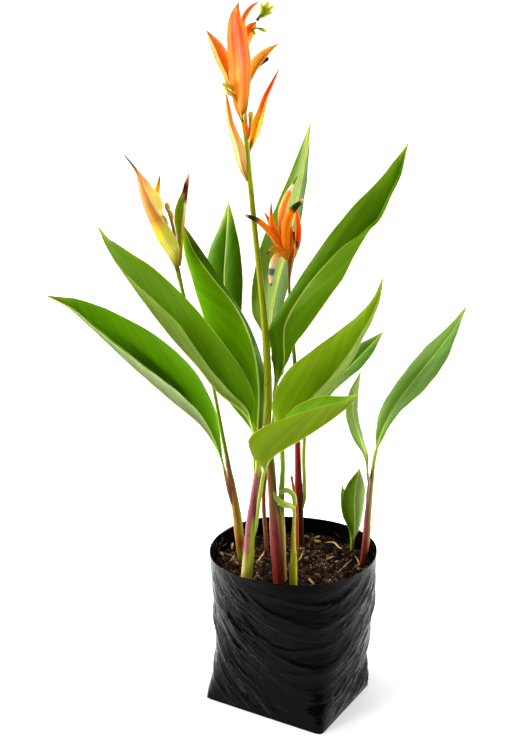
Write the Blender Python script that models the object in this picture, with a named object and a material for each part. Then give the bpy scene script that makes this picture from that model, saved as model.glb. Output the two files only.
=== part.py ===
"""Potted heliconia: a clump of leafy and flowering shoots in a black film grow bag.

The bag stands on the origin, with its front towards -Y. Lengths below are in millimetres and are turned
into metres where a mesh is made. Every leaf is one lofted blade: a round petiole that opens into a thin
blade folded along its midrib. Every bract is a smaller blade of the same kind, and every bud a tapered tube.
"""
import math

import bmesh
import bpy
import numpy as np

MM = 0.001
CLEAR = 0.3  # space left between neighbouring pieces
SEAT = 0.48  # the same where faceted round ends meet
BLADE_THICK = 0.8  # leaf blade
BRACT_THICK = 0.9  # fleshy bract

# Grow bag: film welded to a flat base, its gusseted square foot opening to a nearly round mouth
BAG_HEIGHT = 170.0
BAG_WALL = 1.2
BAG_FLOOR = 1.2
BAG_LONG = (127.0, -87.0)  # the base's sides as vectors: its film corners aren't quite square
BAG_SHORT = (57.5, 121.5)
BASE_CENTRE = (1.2, 4.0)
LEAN = 3.0  # how far the slack film leans to the right at half height
BASE_CORNER_POWER = 24  # the higher, the sharper the corners of the base
SOFT_CORNER_POWER = 4.5  # the same higher up
CORNER_RUN = 0.09  # share of the height over which they go soft
MOUTH_RADIUS = 89.5
MOUTH_CENTRE = (6.5, 6.5)
MOUTH_CORNER = 3.5  # how far the gusset corners still push the mouth out
WAIST = 2.5  # how far the film draws in at half height
CREASE = 1.1  # depth of the slack film's swagged folds
SWAG_TIERS = 3.1  # how many folds lie above each other
SWAG_RISE = 1.2  # how many tiers a fold climbs on its way to the back of the bag
SWAG_LOWEST = -80.0  # direction in degrees in which the folds hang lowest
RIM_WAVE = 0.8
BAG_SIDES = 48
FIRST_ANGLE = 3.25  # degrees, so that an edge falls on each corner
BAG_LEVELS = (0.0, 0.08, 0.22, 0.36, 0.5, 0.64, 0.77, 0.88, 1.0)

SOIL_TOP = 151.0
SOIL_LUMPS = (1.3, 0.9, 0.55)  # heights of its wide, narrow and random lumps
SOIL_HEAP = 3.5  # how much it is heaped round the front clump
HEAP_CENTRE = (-5.0, -40.0)
HEAP_SPREAD = 38.7
SOIL_GAP = 0.4  # between the potting mix and the film
HOLE_RISE = 8.0  # how far the stem holes' cutters stand out of the mix
SOIL_RINGS = (1.0, 0.93, 0.82, 0.7, 0.57, 0.44, 0.3, 0.15)

STEM_SIDES = 8  # an even number: the bevelled curves have it as their sides
BUD_SIDES = 6
BLADE_STEPS = 2  # loft rings between two neighbouring stations of a blade
LEAF_RIDGE = 1.2  # how far the midrib stands out of the lower face
LEAF_WAVE = 0.25  # height of the ripples at the margins
LEAF_ARCH = 0.10  # how much each half bulges, as a share of its width
RIPPLES = 9  # along a blade
RIPPLE_WIDTH = 20.0  # half width from which on they have their full height
BLADE_OPENING = 0.7  # power of the change from round petiole to blade: below one it opens early
ROUND_FROM = 20.0  # degrees: each face takes this part of the petiole's round section
ROUND_OVER = 140.0
TIP_SHARE = 0.25  # size of the last ring against the one before it
PETIOLE_HUG = 15.0  # how far a petiole climbs along its shoot
PETIOLE_LEAN = 0.6  # and how far it has parted from it by then
CUT_END_RUN = 9.0  # straight run of a petiole on a shoot's cut end

# Centre lines of the shoots, from the foot in the soil upwards, with the radius at each point
SHOOTS = {
    "shoot_left": dict(
        path=[(-50, 18, 120), (-50, 18, 150), (-51, 18, 166), (-54, 18, 200), (-59, 17, 236),
              (-65, 17, 272),
              (-71, 18, 306), (-79, 22, 351), (-88, 25, 393), (-102, 26, 431), (-110, 24, 455),
              (-115, 18, 481)],
        radius=[2.9, 2.9, 3.9, 4.3, 3.2, 2.3, 2.0, 1.7, 1.7, 1.8, 2.2, 2.6], colour="green_stalk"),
    "shoot_front": dict(
        path=[(-46, -50, 120), (-45, -50, 149), (-42, -51, 189), (-39, -53, 232), (-36, -53, 261),
              (-33, -53, 284)],
        radius=[4.8, 5.0, 5.2, 4.4, 3.5, 3.1], colour="red_sheath"),
    "shoot_main": dict(
        path=[(-8, -56, 120), (-9, -56, 149), (-13, -50, 201), (-16, -43, 251), (-18, -38, 283),
              (-22, -30, 331), (-21, -24, 362), (-23, -14, 409), (-26, -8, 451), (-31, -3, 499),
              (-36, 0, 547), (-39, 0, 582)],
        radius=[4.8, 5.0, 4.8, 4.2, 4.2, 4.2, 4.0, 4.0, 3.5, 3.2, 3.1, 3.0], colour="green_stalk"),
    "shoot_slim": dict(
        path=[(-3, -42, 120), (-4, -42, 150), (-6, -42, 204), (-7, -43, 251), (-6, -43, 276)],
        radius=[3.0, 3.0, 3.1, 3.0, 2.8], colour="tan_sheath"),
    "shoot_young": dict(
        path=[(6, -53, 120), (6, -53, 147), (6, -52, 191), (6, -50, 221), (7, -48, 236)],
        radius=[4.2, 4.2, 3.3, 2.1, 1.8], colour="tan_sheath"),
    "shoot_back": dict(
        path=[(15, 54, 120), (15, 54, 151), (14, 53, 173), (13, 51, 210), (12, 48, 247), (11, 42, 296),
              (8, 32, 370), (4, 22, 424), (1, 12, 472), (1, 6, 496)],
        radius=[3.8, 3.8, 3.9, 4.4, 3.5, 2.9, 2.6, 2.0, 1.8, 2.3], colour="red_sheath"),
    "shoot_right": dict(
        path=[(83, 11, 120), (83, 11, 150), (86, 11, 180), (88, 10, 216), (90, 9, 246), (92, 9, 264)],
        radius=[3.2, 3.2, 3.7, 3.4, 3.0, 2.2], colour="red_sheath"),
    "shoot_small": dict(
        path=[(72, 47, 120), (72, 47, 150), (72.3, 46.5, 157)],
        radius=[2.2, 2.2, 2.2], colour="tan_sheath"),
    "dry_stem": dict(
        path=[(-22, 45, 120), (-22, 45, 156), (-25, 42, 196), (-28, 38, 227)],
        radius=[2.0, 2.0, 1.7, 1.4], colour="dry_brown"),
    "dry_stub": dict(
        path=[(9, -30, 120), (9, -30, 152), (10, -32, 205), (7, -36, 241), (5, -36, 269), (4, -36, 282)],
        radius=[1.6, 1.6, 1.5, 1.4, 1.3, 1.1], colour="dry_brown"),
}

# Leaves: where the petiole starts, the petiole, then stations of the midrib with both margins, then the tip.
# Left and right are as seen from the foot with the upper face up. A foot "beside" a shoot gives the height on
# it and the direction that it leans out to; a foot "on" a shoot stands on its cut end.
LEAVES = {
    "leaf_left_low": dict(
        beside=("shoot_left", 236, (-1.0, -0.6)), petiole_radius=1.8,
        petiole=[(-68, 11, 262)],
        rib=[(-72, 9, 280), (-89, 2, 314), (-124, -8, 351), (-166, -20, 396), (-206, -32, 442),
             (-230, -40, 468)],
        left=[(-74, 6, 284), (-87, -8, 325), (-113, -28, 365), (-151, -40, 401), (-195, -44, 440),
              (-224, -44, 466)],
        right=[(-70.5, 7, 287), (-76, 12, 327), (-99, 13, 376), (-140, 3, 420), (-190, -18, 457),
               (-221, -36, 474)],
        tip=(-249, -45, 480)),
    "leaf_left_high": dict(
        on="shoot_front", petiole_radius=2.9,
        petiole=[(-33, -48, 311), (-36, -43, 332)],
        rib=[(-44, -40, 346), (-73, -40, 372), (-94, -37, 399), (-121, -36, 431), (-147, -40, 469),
             (-165, -44, 498), (-179, -49, 522)],
        left=[(-41, -46, 351), (-66, -52, 383), (-87, -56, 412), (-114, -64, 457), (-147, -63, 490),
              (-167, -58, 508), (-184, -54, 532)],
        right=[(-35, -35, 358), (-47, -24, 388), (-74, -19, 427), (-102, -10, 460), (-137, -13, 497),
               (-163, -22, 519), (-182, -37, 537)],
        tip=(-193, -56, 557)),
    "leaf_left_back": dict(
        beside=("shoot_front", 262, (0.9, 1.0)), petiole_radius=1.9,
        petiole=[(-31, -33, 301)],
        rib=[(-32, -20, 322), (-31, -6, 363), (-38, 4, 409), (-55, 10, 448), (-81, 16, 481),
             (-99, 25, 505)],
        left=[(-38, -20, 318), (-65, -17, 356), (-78, -4, 393), (-87, 9, 428), (-98, 18, 464),
              (-109, 28, 502)],
        right=[(-25, -10, 328), (-22, 16, 354), (-31, 23, 386), (-46, 27, 423), (-69, 29, 468),
               (-93, 30, 508)],
        tip=(-112, 31, 536)),
    "leaf_back_flat": dict(
        beside=("shoot_front", 240, (0.2, 1.0)), petiole_radius=1.8,
        petiole=[(-35, -38, 280), (-36, -18, 306), (-40, 14, 340), (-48, 38, 372)],
        rib=[(-57, 46, 401), (-66, 50, 433), (-68, 52, 467), (-66, 52, 500), (-64, 52, 531)],
        left=[(-62, 47, 400), (-84, 58, 431), (-89, 64, 465), (-83, 62, 497), (-71, 58, 528)],
        right=[(-53, 43, 404), (-49, 43, 436), (-48, 44, 471), (-51, 45, 504), (-57, 48, 533)],
        tip=(-63, 52, 552)),
    "leaf_back_tall": dict(
        beside=("shoot_main", 374, (0.4, 1.0)), petiole_radius=1.7,
        petiole=[(-20, -3, 399)],
        rib=[(-20, 10, 412), (-18, 24, 434), (-12, 32, 466), (-2, 38, 503), (6, 44, 539), (14, 48, 579),
             (20, 50, 614)],
        left=[(-16, 14, 412), (-8, 38, 430), (1, 54, 458), (9, 62, 494), (15, 66, 534), (20, 63, 574),
              (22, 57, 612)],
        right=[(-26, 18, 413), (-38, 38, 432), (-38, 50, 460), (-30, 59, 498), (-16, 64, 535),
               (0, 61, 575), (14, 57, 613)],
        tip=(23, 50, 638)),
    "leaf_right_high": dict(
        beside=("shoot_main", 336, (1.0, -0.2)), petiole_radius=2.0,
        petiole=[(-14, -20, 366)],
        rib=[(-6, -13, 384), (-2, -9, 439), (14, -5, 468), (40, 0, 500), (59, 2, 519), (78, 4, 532),
             (92, 8, 543), (105, 11, 569), (114, 13, 590)],
        left=[(-18, -9, 398), (-20, -4, 431), (-4, 2, 457), (19, 10, 492), (37, 13, 519), (56, 15, 544),
              (75, 17, 566), (96, 19, 588), (112, 18, 609)],
        right=[(-3, -16, 392), (11, -21, 424), (32, -24, 455), (55, -26, 490), (70, -22, 519),
               (83, -12, 539), (92, 0, 544), (105, 7, 569), (115, 10, 590)],
        tip=(123, 16, 625)),
    "leaf_right_mid": dict(
        on="shoot_slim", petiole_radius=2.6,
        petiole=[(-6, -42, 304)],
        rib=[(-5, -42, 328), (17, -45, 360), (46, -48, 392), (63, -50, 417), (75, -52, 439),
             (88, -53, 465), (93, -55, 485)],
        left=[(-13, -37, 334), (-17, -33, 358), (-2, -28, 390), (27, -28, 416), (51, -34, 437),
              (73, -43, 460), (86, -50, 479)],
        right=[(2, -48, 335), (34, -60, 370), (51, -68, 394), (66, -70, 420), (77, -64, 442),
               (89, -60, 467), (94, -58, 485)],
        tip=(96, -55, 504)),
    "leaf_right_behind": dict(
        beside=("shoot_back", 216, (1.0, -0.3)), petiole_radius=2.1,
        petiole=[(18, 41, 269), (20, 35, 300)],
        rib=[(28, 30, 328), (49, 26, 356), (70, 22, 381), (86, 18, 401)],
        left=[(22, 33, 335), (37, 45, 365), (59, 41, 387), (79, 27, 403)],
        right=[(35, 25, 329), (57, 9, 362), (77, 6, 381), (90, 10, 397)],
        tip=(101, 14, 420)),
    "leaf_front": dict(
        beside=("shoot_front", 226, (1.0, -0.7)), petiole_radius=1.9,
        petiole=[(-29, -60, 268), (-25, -63, 292)],
        rib=[(-21, -66, 304), (-13, -70, 314), (8, -78, 331), (29, -85, 348), (49, -92, 366),
             (62, -97, 380)],
        left=[(-19, -60, 312), (-9, -58, 335), (0, -58, 355), (13, -62, 368), (34, -72, 380),
              (58, -88, 386)],
        right=[(-37, -76, 313), (-42, -86, 336), (-24, -98, 357), (5, -104, 371), (34, -106, 382),
               (56, -104, 387)],
        tip=(71, -101, 393)),
    "leaf_right_small": dict(
        beside=("shoot_right", 236, (-0.6, -1.0)), petiole_radius=1.7,
        petiole=[(86, 0, 262)],
        rib=[(85, 1, 277), (78, -2, 303), (69, -6, 336), (71, -9, 362)],
        left=[(82, 1, 281), (69, -8, 307), (61, -15, 340), (65, -13, 363)],
        right=[(87, 1, 281), (82, 6, 299), (75, 2, 333), (75, -5, 361)],
        tip=(77, -11, 385)),
    "leaf_right_far": dict(
        on="shoot_right", petiole_radius=2.1,
        petiole=[(95, 9, 284)],
        rib=[(98, 9, 298), (111, 5, 332), (134, 0, 370), (157, -5, 404), (175, -9, 433)],
        left=[(94, 12, 300), (99, 18, 329), (120, 24, 364), (145, 18, 400), (169, 2, 431)],
        right=[(102, 6, 300), (117, -10, 335), (143, -22, 367), (165, -23, 400), (178, -17, 434)],
        tip=(186, -12, 458)),
    "leaf_low_right": dict(
        on="shoot_small", petiole_radius=2.3,
        petiole=[(72.5, 44, 166)],
        rib=[(75, 41, 178), (75, 40, 192), (74, 38, 211), (75, 36, 232)],
        left=[(69, 40, 177), (61, 36, 198), (59, 33, 216), (65, 32, 236)],
        right=[(79, 42, 177), (83, 43, 193), (85, 41, 213), (85, 38, 232)],
        tip=(79, 34, 255)),
    "leaf_low_second": dict(
        beside=("shoot_small", 154, (-0.2, 1.0)), petiole_radius=1.2,
        petiole=[(70, 52, 172)],
        rib=[(67, 50, 188), (63, 48, 209)],
        left=[(62, 50, 189), (59, 48, 210)],
        right=[(72, 50, 189), (68, 48, 209)],
        tip=(60, 47, 231)),
}

# Blooms: the axis or neck, its bracts, and its buds and florets. A bract has its keel, the way its boat opens
# and its half width at each point of the keel. Buds and florets are tapered tubes along a path.
TOP_AXIS = dict(
    path=[(-39, 0, 582.4), (-41, 0, 600), (-43, 0, 627), (-47, 0, 654), (-49, 0, 668), (-47, 0, 681),
          (-49, -1, 693), (-46, 0, 710), (-47, 1, 727), (-45, 2, 742), (-46, 3, 751)],
    radius=[3.0, 2.9, 2.6, 2.3, 2.5, 2.5, 2.3, 2.1, 1.8, 1.6, 2.1])
TOP_BRACTS = [
    dict(keel=[(-42.5, -1, 590), (-46.5, -3, 598), (-50.2, -4.5, 612), (-53.2, -6, 627), (-57, -7, 640),
               (-60.3, -7, 652), (-62.5, -7, 667)],
         half=[2, 4, 7, 7.6, 6, 4.4, 3.2], opens=(0.35, 0.9, 0.1), flank=60,
         tip=(-64, -7, 686)),
    dict(keel=[(-41, 2, 619), (-36.6, 3, 629), (-33.4, 4, 638), (-30.2, 5, 650), (-27.2, 5, 660.6),
               (-22.9, 6, 676), (-18, 6, 687), (-13.4, 6, 697.5)],
         half=[1.8, 4, 6.4, 7.2, 5.4, 4, 3, 1.6], opens=(-0.4, 0.85, 0.2), flank=60,
         tip=(-9.4, 6, 706.5)),
    dict(keel=[(-47.5, -3, 653), (-49, -8, 668), (-50, -13, 688), (-50.3, -16, 710), (-52.2, -16, 732),
               (-53.6, -13.5, 751), (-54.2, -10.5, 763.5)],
         half=[3.6, 9.4, 13.3, 15.1, 14.4, 12.3, 7.2], opens=(0.05, 1.0, 0.1), flank=50,
         tip=(-51, -7, 776.9)),
    dict(keel=[(-49, 0, 676), (-60, -2, 691), (-64, -4, 703), (-68, -6, 712), (-71.5, -6, 720.5),
               (-74.8, -6, 729), (-78.6, -5.5, 737)],
         half=[3, 7, 9.6, 10.6, 10.4, 9, 5.8], opens=(0.5, 0.85, 0.1), flank=60,
         tip=(-83.4, -5, 747.5)),
    dict(keel=[(-47, 1, 680), (-40, 4, 689), (-35, 6, 699), (-28, 8, 710), (-19, 9, 721)],
         half=[3, 10, 12, 12, 8], opens=(-0.6, 0.2, 0.8), flank=30,
         tip=(-10, 10, 730.5)),
    dict(keel=[(-46.5, 2, 656), (-44.8, 3, 665.5), (-43.3, 4, 677.6), (-42.3, 5, 688)],
         half=[2.5, 4, 4.5, 3], opens=(-0.4, 0.9, 0.1), flank=60,
         tip=(-41.5, 6, 697)),
    dict(keel=[(-46, 2, 720), (-43.5, 4, 732), (-40, 5, 741), (-36.5, 5.6, 748.5)],
         half=[3, 6.8, 8, 5.6], opens=(-0.4, 0.9, 0.1), flank=60,
         tip=(-33, 6, 754)),
    dict(keel=[(-46.6, 2, 748), (-44.8, 2, 757), (-41, 1, 764.2), (-36.2, 0, 770.5)],
         half=[1.8, 3.8, 4, 2.8], opens=(-0.5, 0.8, 0.4), flank=60,
         tip=(-30, -1, 776)),
]
TOP_BUDS = [
    dict(path=[(-43.5, 0, 634), (-43, -4, 643), (-44, -6, 652), (-44.5, -7, 658), (-44.6, -7, 660.5)],
         radius=[1.4, 1.9, 1.9, 2.3, 2.4]),
    dict(path=[(-43, 0, 630), (-40, -2, 642), (-39.2, -3, 653), (-38.7, -3, 661)],
         radius=[1.2, 1.6, 1.9, 2.9]),
    dict(path=[(-54, -3, 682), (-61, -6, 689), (-67.2, -7, 692.6)],
         radius=[0.8, 1.1, 1.7]),
    dict(path=[(-54, -3, 684), (-60, -6, 691), (-64.4, -7, 694)],
         radius=[0.8, 1.1, 1.8]),
    dict(path=[(-53, -3, 678), (-60, -7, 685), (-65.3, -9, 689.3)],
         radius=[0.8, 1.1, 1.8]),
    dict(path=[(-53, -3, 674), (-58, -7, 682), (-63.6, -8, 686.4)],
         radius=[0.8, 1.0, 1.7]),
    dict(path=[(-53, -3, 672), (-58, -6, 680), (-62.9, -7, 683.2)],
         radius=[0.8, 1.0, 1.4]),
    dict(path=[(-39, 9, 696), (-30, 13, 707), (-22.4, 13, 714)],
         radius=[1.2, 1.3, 2.3]),
    dict(path=[(-39, 6, 742), (-34.5, 7, 746), (-29, 8, 746)], radius=[0.9, 0.9, 0.9]),
    dict(path=[(-31, 8, 746.4), (-27, 8.5, 745), (-23.3, 9, 743)], radius=[1.0, 1.8, 1.2]),
    dict(path=[(-38, 6, 743), (-35.5, 6.5, 741.5), (-33, 7, 739.6)], radius=[0.9, 1.5, 1.1]),
]
BUD_FAN = [
    dict(path=[(-32.8, 6.2, 754.7), (-30, 7, 758.5), (-26.5, 8, 763)], radius=[1.2, 1.6, 1.6]),
    dict(path=[(-30.2, 7.2, 758.5), (-27.2, 8.4, 764.5), (-28.7, 8.4, 771)], radius=[1.1, 2.1, 1.4]),
    dict(path=[(-28, 8, 761.5), (-24, 9, 768), (-21.5, 9, 772.6)], radius=[1.3, 2.4, 1.8]),
    dict(path=[(-28, 8, 761.5), (-21, 9, 765), (-16.5, 9, 768.6)], radius=[1.2, 2.3, 1.6]),
    dict(path=[(-30.2, 7.2, 758), (-25.5, 9, 759.5), (-18.2, 10, 762.1)], radius=[0.8, 1.9, 1.3]),
]

LEFT_NECK = dict(path=[(-115, 17.8, 481.5), (-116, 16, 488), (-118, 13, 496)], radius=[2.6, 2.6, 2.4])
LEFT_BOAT = dict(
    rib=[(-116.5, 15, 488), (-125, 9, 506), (-134, 3, 523), (-142, -2, 544), (-149, -4, 562),
         (-153, -6, 580), (-156, -8, 600)],
    left=[(-113.3, 11, 500), (-114, 2, 519), (-120, -5, 536), (-129.5, -10, 552), (-139, -12, 568),
          (-146, -12, 583), (-153, -10.5, 601)],
    right=[(-115, 16, 498), (-123, 16, 514), (-131, 16, 532), (-132, 18, 549), (-130, 15, 562),
           (-142, 8, 583), (-153, -1, 599)],
    tip=(-168, -10, 620.5))
LEFT_INNER_BRACT = dict(
    keel=[(-119, 14, 497), (-127, 22, 525), (-136, 25, 550), (-137.5, 25, 569), (-135.5, 24, 579)],
    half=[2, 4, 4.5, 3.8, 2.6], opens=(0.3, -0.9, 0.2), flank=60,
    tip=(-133, 22, 591))
LEFT_GREEN_BRACT = dict(
    rib=[(-114, 19, 491), (-113, 20, 501), (-113, 21.5, 513), (-112.5, 22.5, 527), (-111, 22.5, 540),
         (-109.5, 22, 551), (-108.5, 21, 562), (-107, 20, 572), (-105.5, 19.5, 582)],
    left=[(-115.4, 18.8, 492), (-115, 19.6, 501), (-115.8, 21, 514), (-117.6, 22, 528),
          (-119.2, 22, 540), (-118.5, 21.5, 551), (-115.2, 20.5, 562), (-110.6, 19.6, 572),
          (-107.9, 19.2, 582)],
    right=[(-112.6, 18.8, 492), (-111, 19.6, 501), (-110.4, 21, 513), (-109, 22, 527), (-107.8, 22, 540),
           (-106.6, 21.5, 551), (-105.4, 20.5, 562), (-104.3, 19.6, 572), (-103.2, 19.2, 582)],
    tip=(-103, 20, 592))
LEFT_BUDS = [
    dict(path=[(-118, 11, 498), (-118, 10, 519), (-121, 8, 540), (-124.2, 7, 553), (-125.4, 7, 558.5),
               (-126, 7, 562)],
         radius=[1.2, 1.2, 1.2, 1.4, 2.8, 2.2]),
    dict(path=[(-118, 11, 498), (-117, 9, 518), (-118.6, 7.5, 533), (-120.8, 6, 544),
               (-121.7, 5.5, 550), (-122.2, 5, 554)],
         radius=[1.2, 1.2, 1.2, 1.4, 2.7, 2.0]),
    dict(path=[(-118, 11, 498), (-118, 7, 515), (-122.6, 3, 531), (-126.4, 1, 541), (-128, 0.5, 546),
               (-129.4, 0, 550)],
         radius=[1.2, 1.3, 1.5, 1.8, 2.9, 2.2]),
]

MID_NECK = dict(path=[(1, 5.9, 496.7), (1, 5, 505), (-1, 4, 513),
                      (-3, 4, 520)], radius=[2.3, 3.4, 4.6, 3.4])
MID_FLORETS = [
    dict(path=[(-3, 3, 512), (-10, 1, 521), (-20, -4, 536.5), (-32, -8, 549), (-44.5, -10, 555.5)],
         radius=[2.4, 3.6, 3.5, 3.0, 1.5]),
    dict(path=[(-4, 5, 512), (-11.5, 4, 524), (-16.5, 4, 538), (-18, 4, 551), (-18, 4, 564)],
         radius=[2.4, 4.8, 3.8, 2.0, 0.6]),
    dict(path=[(-8, 9, 521), (-17, 10, 535), (-20.5, 11, 544), (-24.5, 11, 551)],
         radius=[2.2, 2.6, 2.0, 0.8]),
    dict(path=[(-4, 8, 518), (-6.5, 10, 537), (-5.5, 11, 556), (0, 11, 572), (5, 11, 583), (9, 11, 591)],
         radius=[2.4, 4.0, 4.6, 3.4, 1.1, 0.6]),
    dict(path=[(-1, 1, 510), (-3, -4, 527), (-2, -7, 546), (4, -9, 560.5), (14.5, -10, 571.5)],
         radius=[2.6, 4.4, 4.8, 4.0, 1.8]),
    dict(path=[(2.5, 5, 503), (8.5, 7, 516), (10.5, 9, 531), (9.5, 9, 547), (8, 9, 556)],
         radius=[2.4, 3.2, 3.3, 2.3, 0.9]),
    dict(path=[(0, 3, 506), (3, 1, 521), (3.5, 1, 533), (2.5, 1, 541)],
         radius=[2.2, 2.8, 2.2, 1.0]),
    dict(path=[(4, 2, 501), (6.7, -2, 514), (6, -4, 526), (5.2, -5, 535)],
         radius=[0.6, 0.7, 1.0, 1.3]),
    dict(path=[(4, 2, 501), (8.7, -1, 512), (8.7, -3, 520), (8.7, -4, 525)],
         radius=[0.6, 0.7, 0.9, 1.1]),
    dict(path=[(-1, 1, 508), (-9, -6, 517), (-16, -10, 519), (-22.5, -12, 514)],
         radius=[2.2, 2.6, 2.4, 1.0]),
    dict(path=[(-1, 0, 505), (-8, -6, 513), (-14.5, -12, 508), (-17.8, -15, 495), (-18.2, -16, 482)],
         radius=[2.2, 3.2, 3.6, 3.1, 1.4]),
]

# Young leaf of the short shoot, rolled and curled over on itself
CURL_LOOP = dict(
    path=[(7.1, -47.9, 236.6), (6.2, -48, 243), (7, -48.5, 250.6), (5.9, -50, 258.1), (2.5, -52, 263.8),
          (-2.2, -54, 266.4), (-6.5, -55, 265.3), (-8.8, -55, 263.3)],
    radius=[1.7, 1.9, 2.4, 2.6, 2.7, 2.7, 2.6, 2.0])
CURL_TAIL = dict(
    path=[(7, -49, 240.6), (2.1, -52, 247.8), (-2.2, -55, 250.2), (-7.5, -57, 253.6), (-11.2, -57, 257.7),
          (-13.8, -56, 261.9), (-15.1, -55, 265.5)],
    radius=[1.8, 3.0, 3.4, 3.4, 2.8, 1.8, 0.8])

COLOURS = {
    "leaf_green": ((0.10, 0.24, 0.02), 0.45),
    "leaf_young": ((0.28, 0.36, 0.05), 0.5),
    "green_stalk": ((0.25, 0.29, 0.03), 0.5),
    "red_sheath": ((0.20, 0.05, 0.04), 0.5),
    "tan_sheath": ((0.30, 0.20, 0.08), 0.6),
    "dry_brown": ((0.16, 0.09, 0.04), 0.8),
    "bract_orange": ((0.85, 0.22, 0.02), 0.4),
    "bract_yellow": ((0.62, 0.45, 0.05), 0.4),
    "bud_yellow": ((0.55, 0.45, 0.04), 0.4),
    "film_black": ((0.012, 0.012, 0.013), 0.3),
    "potting_mix": ((0.035, 0.02, 0.012), 0.9),
}

rng = np.random.default_rng(11)


def clear_scene():
    """Remove everything that the startup file holds."""
    for obj in list(bpy.data.objects):
        bpy.data.objects.remove(obj, do_unlink=True)


def make_collection(name):
    """A collection of that name, linked into the scene."""
    made = bpy.data.collections.new(name)
    bpy.context.scene.collection.children.link(made)
    return made


def material(name, slot):
    """A Principled material for one object, in the colour and roughness of its slot."""
    colour, roughness = COLOURS[slot]
    made = bpy.data.materials.new(name + "_" + slot)
    made.use_nodes = True
    shader = made.node_tree.nodes["Principled BSDF"]
    shader.inputs["Base Color"].default_value = (*colour, 1.0)
    shader.inputs["Roughness"].default_value = roughness
    made.diffuse_color = (*colour, 1.0)
    return made


def add_solid(name, points, faces, slot, collection):
    """A mesh object from points in millimetres, with its faces turned outwards."""
    points = np.asarray(points, float)
    triangles = np.array([(f[0], f[i], f[i + 1]) for f in faces for i in range(1, len(f) - 1)])
    volume = np.linalg.det(points[triangles] - points[0]).sum()
    if volume < 0:
        faces = [tuple(reversed(f)) for f in faces]
    mesh = bpy.data.meshes.new(name)
    mesh.from_pydata((points * MM).tolist(), [], faces)
    mesh.validate()
    obj = bpy.data.objects.new(name, mesh)
    obj.data.materials.append(material(name, slot))
    collection.objects.link(obj)
    return obj


def spline(points, steps, even=False):
    """A smooth curve through the points, with that many steps between two neighbours. Its slopes weigh how
    far apart the points lie, or take them as evenly spaced."""
    points = np.asarray(points, float)
    if points.ndim == 1:
        points = points[:, None]
    moves = np.diff(points, axis=0)
    gaps = np.ones(len(moves)) if even else np.linalg.norm(moves, axis=1)
    speed = moves / gaps[:, None]
    inner = (speed[:-1] * gaps[1:, None] + speed[1:] * gaps[:-1, None]) / (gaps[1:] + gaps[:-1])[:, None]
    slope = np.vstack([speed[:1], inner, speed[-1:]])
    curve = []
    for i, gap in enumerate(gaps):
        for t in np.arange(steps) / steps:
            ahead = 3 * t ** 2 - 2 * t ** 3
            leave = slope[i] * gap * (t ** 3 - 2 * t ** 2 + t)
            arrive = slope[i + 1] * gap * (t ** 3 - t ** 2)
            curve.append(points[i] * (1 - ahead) + points[i + 1] * ahead + leave + arrive)
    curve.append(points[-1])
    return np.squeeze(np.array(curve))


def unit(v):
    """The vector at length one, or each row of an array so."""
    v = np.asarray(v, float)
    return v / np.linalg.norm(v, axis=-1, keepdims=True)


def tangents(path):
    """Unit directions along a path."""
    return unit(np.gradient(path, axis=0))


def loft(rings, mirrored_from=None):
    """Points and faces of a closed solid through equal rings of points. Quads are split in two, and from the
    index mirrored_from on by the other diagonal, so that both faces of a thin blade are split alike."""
    count = len(rings[0])
    points = np.vstack(rings)
    faces = []
    for j in range(len(rings) - 1):
        for k in range(count):
            a, b = j * count + k, j * count + (k + 1) % count
            c, d = b + count, a + count
            if mirrored_from is not None and k >= mirrored_from:
                faces += [(a, b, d), (b, c, d)]
            else:
                faces += [(a, b, c), (a, c, d)]
    last = (len(rings) - 1) * count
    faces.append(tuple(range(count - 1, -1, -1)))
    faces.append(tuple(range(last, last + count)))
    return points, faces


def tube(path, radius, sides, steps):
    """Points and faces of a round tapered stem: a bevelled curve with filled caps, turned into a mesh."""
    line = spline(path, steps)
    radii = spline(radius, steps, even=True)
    curve = bpy.data.curves.new("stem_line", "CURVE")
    curve.dimensions = "3D"
    curve.bevel_depth = 1.0
    curve.bevel_resolution = sides // 2 - 2
    curve.use_fill_caps = True
    strand = curve.splines.new("POLY")
    strand.points.add(len(line) - 1)
    for point, place, r in zip(strand.points, line, radii):
        point.co = (*place, 1.0)
        point.radius = r
    guide = bpy.data.objects.new("stem_line", curve)
    bpy.context.scene.collection.objects.link(guide)
    bpy.context.view_layer.update()
    mesh = bpy.data.meshes.new_from_object(guide.evaluated_get(bpy.context.evaluated_depsgraph_get()))
    bpy.data.objects.remove(guide, do_unlink=True)
    work = bmesh.new()
    work.from_mesh(mesh)
    bmesh.ops.remove_doubles(work, verts=work.verts, dist=0.01)
    bmesh.ops.recalc_face_normals(work, faces=work.faces)
    points = np.array([v.co for v in work.verts])
    faces = [tuple(v.index for v in face.verts) for face in work.faces]
    work.free()
    bpy.data.meshes.remove(mesh)
    return points, faces


ACROSS = (1.0, 0.55, 0.0, -0.55, -1.0)  # upper face from the left margin to the right
LEAF_BENEATH = (-1.0, -0.55, -0.1, 0.0, 0.1, 0.55, 1.0)  # lower face back again, with the midrib's ridge
BRACT_BENEATH = (-1.0, -0.55, 0.0, 0.55, 1.0)


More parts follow.
